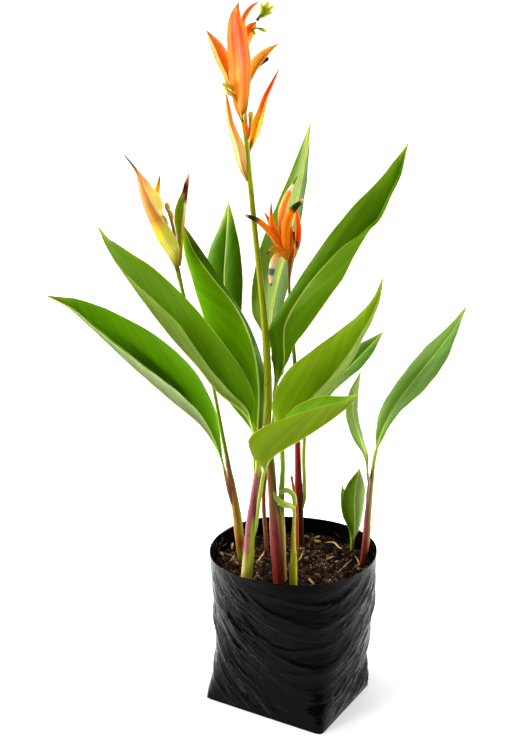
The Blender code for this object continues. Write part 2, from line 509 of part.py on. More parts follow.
def blade(petiole, rib, left, right, tip, foot_radius, thick, ridge, beneath, arch, wave=0.0):
    """A leaf or bract: a round petiole that opens into a thin blade between two margins."""
    centre = spline(list(petiole) + list(rib) + [tip], BLADE_STEPS)
    plain = max(len(petiole) - 1, 0) * BLADE_STEPS  # rings of round petiole
    closed = [(0.0, 0.0, 0.0)]
    base = closed if len(petiole) else []
    to_left = spline(base + [np.subtract(p, m) for p, m in zip(left, rib)] + closed, BLADE_STEPS, even=True)
    to_right = spline(base + [np.subtract(p, m) for p, m in zip(right, rib)] + closed, BLADE_STEPS, even=True)
    to_left = np.vstack([np.zeros((plain, 3)), to_left])
    to_right = np.vstack([np.zeros((plain, 3)), to_right])
    ahead = tangents(centre)
    steps_to_open = BLADE_STEPS if len(petiole) else BLADE_STEPS - 1
    opened = np.clip((np.arange(len(centre)) - plain) / steps_to_open, 0, 1) ** BLADE_OPENING
    facing = np.cross(ahead, to_left - to_right)
    first = len(petiole) * BLADE_STEPS
    facing[:first] = facing[first]
    phase = rng.uniform(0, 2 * math.pi)
    rings = []
    for i in range(len(centre) - 1):
        forward = ahead[i]
        normal = unit(facing[i] - forward * (facing[i] @ forward))
        side = np.cross(normal, forward)
        wide = max(np.linalg.norm(to_left[i]), np.linalg.norm(to_right[i]))
        along = i / (len(centre) - 1)
        ring = []
        for n, u in enumerate(ACROSS + beneath):
            reach = to_left[i] if u > 0 else to_right[i]
            lift = np.cross(forward, reach) if u > 0 else np.cross(reach, forward)
            lift = normal if u == 0 or np.linalg.norm(lift) < 0.2 else unit(lift)
            if lift @ normal < 0:
                lift = -lift
            ripple = wave * min(wide / RIPPLE_WIDTH, 1) * u * u
            ripple = ripple * math.sin(2 * math.pi * RIPPLES * along + phase + 2 * u)
            flat = reach * abs(u) + lift * (arch * wide * 4 * abs(u) * (1 - abs(u)) + ripple)
            if n >= len(ACROSS):
                flat = flat - lift * (thick + (ridge * (1 - 0.75 * along) if u == 0 else 0))
                turn = math.radians(180 + ROUND_FROM + ROUND_OVER * (n - len(ACROSS)) / (len(beneath) - 1))
            else:
                turn = math.radians(ROUND_FROM + ROUND_OVER * n / (len(ACROSS) - 1))
            round_part = foot_radius * (math.cos(turn) * side + math.sin(turn) * normal)
            ring.append(centre[i] + (1 - opened[i]) * round_part + opened[i] * flat)
        rings.append(np.array(ring))
    rings.append(centre[-1] + (rings[-1] - rings[-1].mean(axis=0)) * TIP_SHARE)
    return loft(rings, mirrored_from=len(ACROSS))


def bract(keel, half, opens, flank, tip, foot_radius=1.6, thick=BRACT_THICK):
    """A boat-shaped bract: its flanks stand at an angle of flank degrees to the side that it opens to."""
    line = np.array(list(keel) + [tip], float)
    ahead = tangents(line)
    across, beside = math.cos(math.radians(flank)), math.sin(math.radians(flank))
    left, right = [], []
    for i, w in enumerate(half):
        out = unit(np.subtract(opens, ahead[i] * (np.asarray(opens) @ ahead[i])))
        side = np.cross(out, ahead[i])
        left.append(line[i] + w * (across * out - beside * side))
        right.append(line[i] + w * (across * out + beside * side))
    return blade([], keel, left, right, tip, foot_radius, thick, 0.3, BRACT_BENEATH, arch=-0.14)


def largest_piece(mesh):
    """Drop the loose scraps that a union can leave beside its body."""
    work = bmesh.new()
    work.from_mesh(mesh)
    work.verts.ensure_lookup_table()
    bodies, seen = [], set()
    for start in work.verts:
        if start in seen:
            continue
        body, waiting = {start}, [start]
        while waiting:
            vertex = waiting.pop()
            for edge in vertex.link_edges:
                other = edge.other_vert(vertex)
                if other not in body:
                    body.add(other)
                    waiting.append(other)
        seen |= body
        bodies.append(body)
    keep = max(bodies, key=len)
    bmesh.ops.delete(work, geom=[v for v in work.verts if v not in keep], context="VERTS")
    work.to_mesh(mesh)
    work.free()


def fuse(name, solids, slot, collection):
    """One node from overlapping solids, by a Boolean union."""
    spare = make_collection(name + "_pieces")
    pieces = [add_solid(f"{name}_{i}", *solid, slot, spare) for i, solid in enumerate(solids)]
    body = pieces[0]
    spare.objects.unlink(body)
    collection.objects.link(body)
    join = body.modifiers.new("Join", "BOOLEAN")
    join.operation = "UNION"
    join.operand_type = "COLLECTION"
    join.collection = spare
    join.solver = "MANIFOLD"
    bpy.context.view_layer.update()
    graph = bpy.context.evaluated_depsgraph_get()
    joined = bpy.data.meshes.new_from_object(body.evaluated_get(graph))
    body.modifiers.clear()
    body.data = joined
    largest_piece(joined)
    joined.materials.clear()
    joined.materials.append(material(name, slot))
    body.name = name
    for piece in pieces[1:]:
        bpy.data.objects.remove(piece, do_unlink=True)
    bpy.data.collections.remove(spare)
    return body


def bag_angles():
    """The directions in which the bag's outline has its points."""
    return math.radians(FIRST_ANGLE) + 2 * math.pi * np.arange(BAG_SIDES) / BAG_SIDES


def bag_section(share, inset):
    """The bag's outline at a share of its height, drawn in by inset."""
    angles = bag_angles()
    around = np.column_stack([np.cos(angles), np.sin(angles)])
    halves = np.array([BAG_LONG, BAG_SHORT]).T / 2
    shares = np.abs(np.linalg.solve(halves, around.T))
    power = SOFT_CORNER_POWER + (BASE_CORNER_POWER - SOFT_CORNER_POWER) * math.exp(-share / CORNER_RUN)
    square = (shares ** power).sum(axis=0) ** (-1 / power)
    corner = (square - square.min()) / (square.max() - square.min())
    mouth = MOUTH_RADIUS + MOUTH_CORNER * corner
    ease = share ** 1.3 * (1.9 - 0.9 * share)
    radius = square * (1 - ease) + mouth * ease - WAIST * math.sin(math.pi * share) * corner
    climb = SWAG_RISE * (1 - np.cos(angles - math.radians(SWAG_LOWEST)))
    swag = np.sin(2 * math.pi * (SWAG_TIERS * share - climb))
    radius = radius + CREASE * math.sin(math.pi * share) * swag - inset
    middle = np.array(MOUTH_CENTRE) * share + np.array(BASE_CENTRE) * (1 - share)
    middle[0] += LEAN * math.sin(math.pi * share)
    return middle + around * radius[:, None]


def ring_at(outline, height):
    """A ring of points from an outline at a height, or at one height for each point."""
    return np.column_stack([outline, np.broadcast_to(height, len(outline))])


def build_bag(collection):
    """The film bag: outer wall up, inner wall down, each closed by its floor."""
    rim = RIM_WAVE * np.sin(3 * bag_angles() + 0.6)
    outer, inner = [], []
    for share in BAG_LEVELS:
        height = BAG_HEIGHT * share
        wave = rim * share ** 6
        outer.append(ring_at(bag_section(share, 0), height + wave))
        inner.append(ring_at(bag_section(share, BAG_WALL), max(height, BAG_FLOOR) + wave))
    add_solid("grow_bag", *loft(outer + inner[::-1]), "film_black", collection)


def soil_height(x, y):
    """Uneven top of the potting mix, heaped a little round the front clump."""
    wide, narrow, grain = SOIL_LUMPS
    lumps = wide * np.sin(x / 7.1 + 1.3 * np.sin(y / 9.3)) * np.cos(y / 6.2 + 0.8)
    lumps = lumps + narrow * np.sin(x / 3.7 - y / 4.9) + rng.normal(0, grain, np.shape(x))
    off = np.hypot(x - HEAP_CENTRE[0], y - HEAP_CENTRE[1])
    return SOIL_TOP + lumps + SOIL_HEAP * np.exp(-(off / HEAP_SPREAD) ** 2)


def build_soil(collection):
    """The potting mix that fills the bag, with a plain hole round the foot of each shoot."""
    levels = [h for h in BAG_LEVELS if h * BAG_HEIGHT < SOIL_TOP]
    away = BAG_WALL + SOIL_GAP
    rings = [ring_at(bag_section(h, away), max(BAG_HEIGHT * h, BAG_FLOOR + CLEAR)) for h in levels]
    edge = bag_section(levels[-1], away)
    middle = edge.mean(axis=0)
    for share in SOIL_RINGS[1:]:
        outline = middle + (edge - middle) * share
        rings.append(ring_at(outline, soil_height(*outline.T)))
    soil = add_solid("potting_soil", *loft(rings[::-1]), "potting_mix", collection)
    holes = make_collection("stem_holes")
    for name, shoot in SHOOTS.items():
        path, radius = [], []
        for point, r in zip(shoot["path"], shoot["radius"]):
            path.append(point)
            radius.append((r + CLEAR) / math.cos(math.pi / STEM_SIDES))
            if point[2] > SOIL_TOP + HOLE_RISE:
                break
        path[0] = tuple(np.subtract(path[0], (0, 0, CLEAR)))
        cutter = tube(path, radius, STEM_SIDES, shoot_steps(shoot))
        hole = add_solid(name + "_hole", *cutter, "potting_mix", holes)
        hole.hide_render = True
        hole.display_type = "WIRE"
    cut = soil.modifiers.new("Stem holes", "BOOLEAN")
    cut.operation = "DIFFERENCE"
    cut.operand_type = "COLLECTION"
    cut.collection = holes
    cut.solver = "EXACT"
    bpy.context.view_layer.update()
    cut_mesh = bpy.data.meshes.new_from_object(soil.evaluated_get(bpy.context.evaluated_depsgraph_get()))
    soil.modifiers.clear()
    soil.data = cut_mesh
    for hole in list(holes.objects):
        bpy.data.objects.remove(hole, do_unlink=True)
    bpy.data.collections.remove(holes)


def shoot_at(name, height):
    """Centre, radius and direction of a shoot where it passes a height."""
    path = spline(SHOOTS[name]["path"], 8)
    radius = spline(SHOOTS[name]["radius"], 8, even=True)
    near = int(np.argmin(np.abs(path[:, 2] - height)))
    return path[near], radius[near], tangents(path)[near]


def petiole_start(leaf):
    """The first points of a petiole, set just off the shoot that carries it."""
    if "on" in leaf:
        path = spline(SHOOTS[leaf["on"]]["path"], 8)
        forward = tangents(path)[-1]
        return [path[-1] + SEAT * forward, path[-1] + CUT_END_RUN * forward]
    name, height, towards = leaf["beside"]
    away = unit((*towards, 0.0))
    points = []
    for rise, spread in ((0, 0.0), (PETIOLE_HUG, PETIOLE_LEAN)):
        centre, radius, forward = shoot_at(name, height + rise)
        out = unit(away - forward * (away @ forward))
        points.append(centre + out * (radius + leaf["petiole_radius"] + SEAT + spread))
    return points


def shoot_steps(shoot):
    """Loft rings between two points of a shoot: long ones have points enough."""
    return 1 if len(shoot["path"]) > 9 else 2


def build_shoots(collection):
    """One tapered stem for each shoot."""
    for name, shoot in SHOOTS.items():
        solid = tube(shoot["path"], shoot["radius"], STEM_SIDES, shoot_steps(shoot))
        add_solid(name, *solid, shoot["colour"], collection)


def build_leaves(collection):
    """One blade with its petiole for each leaf, and the young leaf as two curled rolls."""
    for name, leaf in LEAVES.items():
        petiole = petiole_start(leaf) + leaf["petiole"]
        solid = blade(petiole, leaf["rib"], leaf["left"], leaf["right"], leaf["tip"], leaf["petiole_radius"],
                      BLADE_THICK, LEAF_RIDGE, LEAF_BENEATH, LEAF_ARCH, LEAF_WAVE)
        add_solid(name, *solid, "leaf_green", collection)
    curl = [tube(CURL_LOOP["path"], CURL_LOOP["radius"], BUD_SIDES + 1, 3),
            tube(CURL_TAIL["path"], CURL_TAIL["radius"], BUD_SIDES + 1, 3)]
    fuse("leaf_young_curl", curl, "leaf_young", collection)


def buds(paths):
    """Tapered tubes, one for each bud or floret."""
    return [tube(one["path"], one["radius"], BUD_SIDES, 2) for one in paths]


def build_blooms(collection):
    """The three inflorescences, joined per colour that holds together."""
    top = [tube(TOP_AXIS["path"], TOP_AXIS["radius"], 8, 1)]
    top += [bract(**one) for one in TOP_BRACTS] + buds(TOP_BUDS)
    fuse("bloom_top", top, "bract_orange", collection)
    fuse("bloom_top_buds", buds(BUD_FAN), "bud_yellow", collection)
    boat = blade([], **LEFT_BOAT, foot_radius=2.2, thick=BRACT_THICK, ridge=0.8, beneath=BRACT_BENEATH,
                 arch=-0.08)
    green = blade([], **LEFT_GREEN_BRACT, foot_radius=1.3, thick=BRACT_THICK, ridge=0.3,
                  beneath=BRACT_BENEATH, arch=-0.06)
    left = [tube(LEFT_NECK["path"], LEFT_NECK["radius"], 8, 2), boat, bract(**LEFT_INNER_BRACT)]
    fuse("bloom_left", left + buds(LEFT_BUDS), "bract_yellow", collection)
    add_solid("bloom_left_green_bract", *green, "leaf_young", collection)
    middle = [tube(MID_NECK["path"], MID_NECK["radius"], 8, 2)] + buds(MID_FLORETS)
    fuse("bloom_middle", middle, "bract_orange", collection)


def main():
    """Build every piece into one collection."""
    clear_scene()
    collection = make_collection("potted_heliconia")
    build_bag(collection)
    build_soil(collection)
    build_shoots(collection)
    build_leaves(collection)
    build_blooms(collection)


main()
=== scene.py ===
# %% [markdown]
# A potted heliconia: leafy shoots and three inflorescences in a black film grow bag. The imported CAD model
# gives every piece its place. Each of its plain solids is replaced here by a finer piece of the same form,
# because leaves, bracts, film and potting mix live from what is thinner and smaller than the solids can
# be: veins, pale margins, sheath edges, crumpled film and crumbs. Lengths are in millimetres until a mesh
# is made.

# %% The fixed frame
import math

import bpy
import numpy as np
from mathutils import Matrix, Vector, noise


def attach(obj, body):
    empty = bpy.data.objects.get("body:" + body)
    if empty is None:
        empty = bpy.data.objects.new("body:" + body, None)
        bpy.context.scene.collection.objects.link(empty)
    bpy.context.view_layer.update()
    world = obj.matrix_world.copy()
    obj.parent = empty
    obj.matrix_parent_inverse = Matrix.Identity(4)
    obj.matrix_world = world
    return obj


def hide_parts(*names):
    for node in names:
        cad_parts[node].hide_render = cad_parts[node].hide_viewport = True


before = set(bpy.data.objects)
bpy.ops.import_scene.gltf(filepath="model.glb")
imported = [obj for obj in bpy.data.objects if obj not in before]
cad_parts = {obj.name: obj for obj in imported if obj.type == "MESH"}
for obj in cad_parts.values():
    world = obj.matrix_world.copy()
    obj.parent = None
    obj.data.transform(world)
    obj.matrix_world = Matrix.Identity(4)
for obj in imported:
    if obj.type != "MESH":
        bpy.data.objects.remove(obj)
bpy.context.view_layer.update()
MM = 0.001
rng = np.random.default_rng(7)


# %% [markdown]
# The photograph looks down on the plant by about 20 degrees through a long lens, which shows in the
# ellipse of the bag's mouth and in how little its sides converge. Distance and height follow from the size
# of the bag.

# %% Camera
PHOTO_WIDTH, PHOTO_HEIGHT = 525, 742
FOCAL_PX = 2463.0
CAMERA_PLACE = (-0.027, -2.443, 1.289)
CAMERA_PITCH = 20.4
SENSOR = 36.0

camera = bpy.data.objects.new("photo_camera", bpy.data.cameras.new("photo_camera"))
bpy.context.scene.collection.objects.link(camera)
camera.location = CAMERA_PLACE
camera.rotation_euler = (math.radians(90 - CAMERA_PITCH), 0, 0)
camera.data.sensor_width = SENSOR
camera.data.lens = FOCAL_PX / max(PHOTO_WIDTH, PHOTO_HEIGHT) * SENSOR
bpy.context.scene.camera = camera
print("lens", round(camera.data.lens, 1), "mm")

# %% [markdown]
# Every material is a small node tree. One function adds a node with its settings and what feeds it,
# another turns an sRGB hex colour, as a picture editor shows it, into the linear values that shaders work
# in. What several materials share, such as noise that is stretched along an organ, has a function too.

# %% Colours and nodes


def linear(hex_colour):
    """An sRGB hex colour as linear red, green, blue."""
    parts = [int(hex_colour[i:i + 2], 16) / 255 for i in (1, 3, 5)]
    return np.array([p / 12.92 if p <= 0.04045 else ((p + 0.055) / 1.055) ** 2.4 for p in parts])


def add(tree, kind, feeds=None, stops=None, **settings):
    """Add a node with its settings. What feeds an input is a plain value or another node's output."""
    node = tree.nodes.new(kind)
    for key, value in settings.items():
        setattr(node, key, value)
    for key, value in (feeds or {}).items():
        if isinstance(value, bpy.types.NodeSocket):
            tree.links.new(value, node.inputs[key])
        else:
            node.inputs[key].default_value = value
    for place, (at, colour) in enumerate(stops or []):
        if place > 1:
            node.color_ramp.elements.new(at)
        node.color_ramp.elements[place].position = at
        node.color_ramp.elements[place].color = (*linear(colour), 1)
    return node


def new_material(name, **values):
    """A material whose Principled shader has these constant values; returns it, its tree and the shader."""
    made = bpy.data.materials.new(name)
    made.use_nodes = True
    shader = made.node_tree.nodes["Principled BSDF"]
    for key, value in values.items():
        shader.inputs[key.replace("_", " ")].default_value = value
    return made, made.node_tree, shader


def attribute(tree, name, output):
    """What a mesh attribute says at each point: its tint, or its lay on the organ."""
    return add(tree, "ShaderNodeAttribute", attribute_name=name).outputs[output]


def stretched_noise(tree, lay, changes, detail, distortion=0.0):
    """Noise on lay. The three numbers say how often it changes in a millimetre, each way."""
    place = add(tree, "ShaderNodeVectorMath", {0: lay, 1: changes}, operation="MULTIPLY")
    waves = add(tree, "ShaderNodeTexNoise", {"Vector": place.outputs[0], "Scale": 1.0, "Detail": detail,
                                             "Distortion": distortion})
    return waves.outputs["Fac"]


def shaded_tint(tree, streaks, low, high, darkest, lightest):
    """The tint, darker and lighter as a streak value runs from low to high."""
    shade = add(tree, "ShaderNodeMapRange", {"Value": streaks, "From Min": low, "From Max": high,
                                             "To Min": darkest, "To Max": lightest})
    tint = attribute(tree, "tint", "Color")
    colour = add(tree, "ShaderNodeVectorMath", {0: tint, "Scale": shade.outputs[0]}, operation="SCALE")
    return colour.outputs[0]


def wear(tree, shader, colour, height, strength, distance):
    """Give a shader its colour, and its bump from a height that is worth that many metres."""
    bump = add(tree, "ShaderNodeBump", {"Height": height, "Strength": strength, "Distance": distance})
    tree.links.new(colour, shader.inputs["Base Color"])
    tree.links.new(bump.outputs[0], shader.inputs["Normal"])


# %% [markdown]
# Meshes are lofts: rings of points, one behind the other, closed at both ends. Each point carries a tint,
# its growing colour, on some organs with painted shade, shadow, sheen and highlight, and a place called lay,
# which says where on the organ it is, so that veins and fibres follow the leaf instead of running straight
# through the room.

# %% Curves, lofts and pieces


def unit(v):
    """The vector at length one, or each row of an array so."""
    v = np.asarray(v, float)
    return v / np.maximum(np.linalg.norm(v, axis=-1, keepdims=True), 1e-9)


def spline(points, steps, even=False):
    """A smooth curve through the points, with that many steps between two neighbours. Its slopes weigh how
    far apart the points lie, or take them as evenly spaced."""
    points = np.asarray(points, float)
    if points.ndim == 1:
        points = points[:, None]
    moves = np.diff(points, axis=0)
    gaps = np.ones(len(moves)) if even else np.linalg.norm(moves, axis=1)
    speed = moves / gaps[:, None]
    before, after = gaps[:-1, None], gaps[1:, None]
    inner = (speed[:-1] * after + speed[1:] * before) / (after + before)
    slopes = np.vstack([speed[:1], inner, speed[-1:]])
    leaving, arriving = slopes[:-1] * gaps[:, None], slopes[1:] * gaps[:, None]
    t = np.tile(np.arange(steps) / steps, len(gaps))[:, None]
    at = np.repeat(np.arange(len(gaps)), steps)
    ahead = 3 * t ** 2 - 2 * t ** 3
    curve = points[at] * (1 - ahead) + points[at + 1] * ahead
    curve = curve + leaving[at] * (t ** 3 - 2 * t ** 2 + t) + arriving[at] * (t ** 3 - t ** 2)
    return np.squeeze(np.vstack([curve, points[-1:]]))


def tangents(path):
    """Unit directions along a path."""
    return unit(np.gradient(path, axis=0))


def lengths(path):
    """Distance along a path from its first point."""
    return np.append(0, np.cumsum(np.linalg.norm(np.diff(path, axis=0), axis=1)))


def mix(a, b, share):
    """From a to b by a share between 0 and 1."""
    share = np.clip(share, 0, 1)
    return a * (1 - share) + b * share


def smooth(low, high, x):
    """0 below low, 1 above high, and an easy slope between."""
    t = np.clip((np.asarray(x, float) - low) / (high - low), 0, 1)
    return t * t * (3 - 2 * t)


def along_stops(stops, at):
    """Linear colours at places along an organ, from stops of (place, hex colour)."""
    places = [place for place, _ in stops]
    colours = np.array([linear(colour) for _, colour in stops])
    return np.stack([np.interp(at, places, colours[:, k]) for k in range(3)], axis=-1)


def loft(rings, tint, lay):
    """One closed shell through rings of points, as its points, faces, tints and lays."""
    count, size = rings.shape[:2]
    j, k = np.meshgrid(np.arange(count - 1), np.arange(size), indexing="ij")
    a = (j * size + k).ravel()
    b = (j * size + (k + 1) % size).ravel()
    faces = np.column_stack([a, b, b + size, a + size]).tolist()
    points = np.vstack([rings.reshape(-1, 3), rings[0].mean(axis=0), rings[-1].mean(axis=0)])
    tint = np.vstack([tint.reshape(-1, 3), tint[0].mean(axis=0), tint[-1].mean(axis=0)])
    lay = np.vstack([lay.reshape(-1, 3), lay[0].mean(axis=0), lay[-1].mean(axis=0)])
    first, last = count * size, count * size + 1
    top = (count - 1) * size
    faces += [(first, (k + 1) % size, k) for k in range(size)]
    faces += [(last, top + k, top + (k + 1) % size) for k in range(size)]
    middle = points.mean(axis=0)
    corners = points[np.array([f[:3] for f in faces])] - middle
    if np.linalg.det(corners).sum() < 0:
        faces = [f[::-1] for f in faces]
    return points, faces, tint, lay


def make_piece(name, shells, material, nodes=()):
    """One object from closed shells, with its tint and lay, standing for the CAD nodes that it replaces."""
    starts = np.cumsum([0] + [len(shell[0]) for shell in shells])
    faces = [tuple(int(i) + int(start) for i in face)
             for start, shell in zip(starts, shells) for face in shell[1]]
    mesh = bpy.data.meshes.new(name)
    mesh.from_pydata((np.vstack([shell[0] for shell in shells]) * MM).tolist(), [], faces)
    tint = mesh.attributes.new("tint", "FLOAT_COLOR", "POINT")
    colours = np.vstack([shell[2] for shell in shells])
    tint.data.foreach_set("color", np.column_stack([colours, np.ones(len(colours))]).ravel())
    lay = mesh.attributes.new("lay", "FLOAT_VECTOR", "POINT")
    lay.data.foreach_set("vector", np.vstack([shell[3] for shell in shells]).ravel())
    mesh.polygons.foreach_set("use_smooth", [True] * len(mesh.polygons))
    mesh.materials.append(material)
    piece = bpy.data.objects.new(name, mesh)
    bpy.context.scene.collection.objects.link(piece)
    finish_piece(piece, nodes)


def finish_piece(piece, nodes=()):
    """Say what a finished piece rides on and which CAD nodes it stands for, and print its triangles."""
    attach(piece, "root")
    if nodes:
        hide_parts(*nodes)
    triangles = sum(len(face.vertices) - 2 for face in piece.data.polygons)
    print(f"{piece.name}: {triangles} triangles")


# %% [markdown]
# A heliconia leaf blade is thin, satin and a little waxy. Light from above gives the deep green of its
# face; the underside is paler and greyer. Fine side veins leave the midrib at a sharp angle, bend towards
# the tip and lie closely side by side. The material draws them as stretched noise on lay, whose first
# number is constant along a vein, and lifts them a little as bump.

# %% Leaf blade material
VEIN_SPACING = 3.2  # millimetres along the midrib between two fine veins, coarser than real ones to show
BAND_SPACING = 17.0  # broader bands of colour along the veins
PLANT_IOR = 1.33  # skin over sap
LEAF_SHEEN = (0.8, 1.0, 0.2, 1.0)  # the waxy gloss is yellow-green, never white
STREAK_DEPTH = 0.13  # how much darker and lighter the streaks are than the tint


def leaf_material(name):
    """Waxy living leaf: satin, with a yellow-green sheen and streaks along its veins."""
    made, tree, shader = new_material(name, Roughness=0.36, IOR=PLANT_IOR, Specular_IOR_Level=0.18,
                                      Specular_Tint=LEAF_SHEEN)
    lay = attribute(tree, "lay", "Vector")
    fine = stretched_noise(tree, lay, (1 / VEIN_SPACING, 0.02, 0.0), 2.0)
    band = stretched_noise(tree, lay, (1 / BAND_SPACING, 0.03, 0.004), 1.0)
    streaks = add(tree, "ShaderNodeMath", {0: fine, 1: band}, operation="ADD").outputs[0]
    colour = shaded_tint(tree, streaks, 0.75, 1.25, 1 - STREAK_DEPTH, 1 + STREAK_DEPTH)
    wear(tree, shader, colour, fine, 0.35, 0.0003)
    return made


living_leaf = leaf_material("living_leaf_blade")

# %% [markdown]
# Eight shoots carry the plant. Each has the points of its middle line, its radius at them and the heights
# of its sheaths' mouths. Its colours are given by height, for its left and its right flank, because maroon
# and green often lie side by side on a sheath, and because on several shoots the right flank, turned away
# from the light at the left, is painted darker: painted shade.

# %% Shoots as lists

SHOOTS = {
    "shoot_left": dict(
        path=[(-50, 18, 120), (-50, 18, 150), (-51, 18, 166), (-54, 18, 200), (-59, 17, 236), (-65, 17, 272),
              (-71, 18, 306), (-79, 22, 351), (-88, 25, 393), (-102, 26, 431), (-110, 24, 455),
              (-115, 18, 481)],
        radius=[2.9, 2.9, 3.9, 4.3, 3.2, 2.3, 2.0, 1.7, 1.7, 1.8, 2.2, 2.6], slot="green_stalk",
        sheaths=(188, 262, 420),
        left=[(150, "#4A4412"), (158, "#8F8A22"), (172, "#8A4A18"), (186, "#936A1F"), (215, "#8E6422"),
              (240, "#8A4A35"), (262, "#9A5A52"), (275, "#7F7A1E"), (330, "#6E8A12"), (480, "#8A9A20")],
        right=[(150, "#3A3A12"), (160, "#9A962A"), (175, "#7A3A14"), (190, "#8A8420"), (240, "#6A4A18"),
               (262, "#4F4A14"), (300, "#5F7010"), (480, "#7F8F18")]),
    "shoot_front": dict(
        path=[(-46, -50, 120), (-45, -50, 149), (-42, -51, 189), (-39, -53, 232), (-36, -53, 261),
              (-33, -53, 284)],
        radius=[4.8, 5.0, 5.2, 4.4, 3.5, 3.1], slot="red_sheath", sheaths=(196, 246, 280),
        left=[(149, "#A89A60"), (175, "#A89A50"), (190, "#948038"), (198, "#84404A"), (230, "#8A3E4C"),
              (262, "#94505A"), (284, "#A0606A")],
        right=[(149, "#6F701E"), (165, "#8F8F24"), (200, "#A0AC2A"), (226, "#94A224"), (240, "#7A3A40"),
               (284, "#8A4A50")]),
    "shoot_main": dict(
        path=[(-8, -56, 120), (-9, -56, 149), (-13, -50, 201), (-16, -43, 251), (-18, -38, 283),
              (-22, -30, 331), (-21, -24, 362), (-23, -14, 409), (-26, -8, 451), (-31, -3, 499),
              (-36, 0, 547), (-39, 0, 582)],
        radius=[4.8, 5.0, 4.8, 4.2, 4.2, 4.2, 4.0, 4.0, 3.5, 3.2, 3.1, 3.0], slot="green_stalk",
        sheaths=(236, 300, 384),
        left=[(149, "#7A2E20"), (175, "#8A2C26"), (215, "#8A3A3C"), (233, "#8A5044"), (244, "#8A5A3A"),
              (290, "#8A6230"), (322, "#7A3A20"), (350, "#9A9A1C"), (422, "#A0A410"), (590, "#98A20C")],
        right=[(149, "#3E0A06"), (200, "#5A0E08"), (225, "#6A1A10"), (240, "#6A4A28"), (290, "#625418"),
               (330, "#8A8A10"), (422, "#7F8A06"), (590, "#74840A")]),
    "shoot_slim": dict(
        path=[(-3, -42, 120), (-4, -42, 150), (-6, -42, 204), (-7, -43, 251), (-6, -43, 276)],
        radius=[3.0, 3.0, 3.5, 3.5, 3.0], slot="tan_sheath", sheaths=(226,),
        left=[(150, "#A08A50"), (205, "#A8935A"), (222, "#94943A"), (240, "#7A7E1E"), (276, "#7E8A22")],
        right=[(150, "#8A5A30"), (190, "#A07A44"), (222, "#94943A"), (240, "#5A6A14"), (276, "#5E7A14")]),
    "shoot_young": dict(
        path=[(6, -53, 120), (6, -53, 147), (6, -52, 191), (6, -50, 221), (7, -48, 236)],
        radius=[4.2, 4.2, 3.3, 2.1, 1.8], slot="tan_sheath", sheaths=(186,),
        left=[(147, "#6A3A18"), (165, "#8F7A14"), (185, "#9FA01A"), (205, "#7A6A18"), (221, "#8A7A2A"),
              (236, "#A5A640")],
        right=[(147, "#7A6A14"), (165, "#A8A818"), (190, "#9AA51A"), (236, "#9AA53A")]),
    "shoot_back": dict(
        path=[(15, 54, 120), (15, 54, 151), (14, 53, 173), (13, 51, 210), (12, 48, 247), (11, 42, 296),
              (8, 32, 370), (4, 22, 424), (1, 12, 472), (1, 6, 496)],
        radius=[3.8, 3.8, 3.9, 4.4, 3.5, 2.9, 2.6, 2.0, 1.8, 2.3], slot="red_sheath", sheaths=(222, 352),
        left=[(151, "#4A3414"), (165, "#4A2010"), (190, "#4E160A"), (230, "#6A120E"), (262, "#8A1414"),
              (330, "#6A120E"), (372, "#5F6A14"), (430, "#6F8A12"), (496, "#7A4A1A")],
        right=[(151, "#2E2A10"), (165, "#2E140A"), (200, "#3A0E06"), (240, "#8A120E"), (300, "#9A1412"),
               (372, "#5A7010"), (496, "#6A4A1A")]),
    "shoot_right": dict(
        path=[(83, 11, 120), (83, 11, 150), (86, 11, 180), (88, 10, 216), (90, 9, 246), (92, 9, 264)],
        radius=[3.2, 3.2, 3.7, 3.4, 3.0, 2.2], slot="red_sheath", sheaths=(206, 250),
        left=[(150, "#5F1E16"), (175, "#7F2A22"), (200, "#8F4A48"), (225, "#6A4A44"), (264, "#4A2A24")],
        right=[(150, "#6A2A1A"), (170, "#8A4A2C"), (190, "#8A5A34"), (264, "#8A8A38")]),
    "shoot_small": dict(
        path=[(72, 47, 120), (72, 47, 150), (72.3, 46.5, 157)],
        radius=[2.2, 2.2, 2.2], slot="tan_sheath", sheaths=(),
        left=[(150, "#5A7A1C"), (160, "#7FA02C"), (170, "#6F981C")],
        right=[(150, "#5A7A1C"), (160, "#7FA02C"), (170, "#6F981C")]),
}
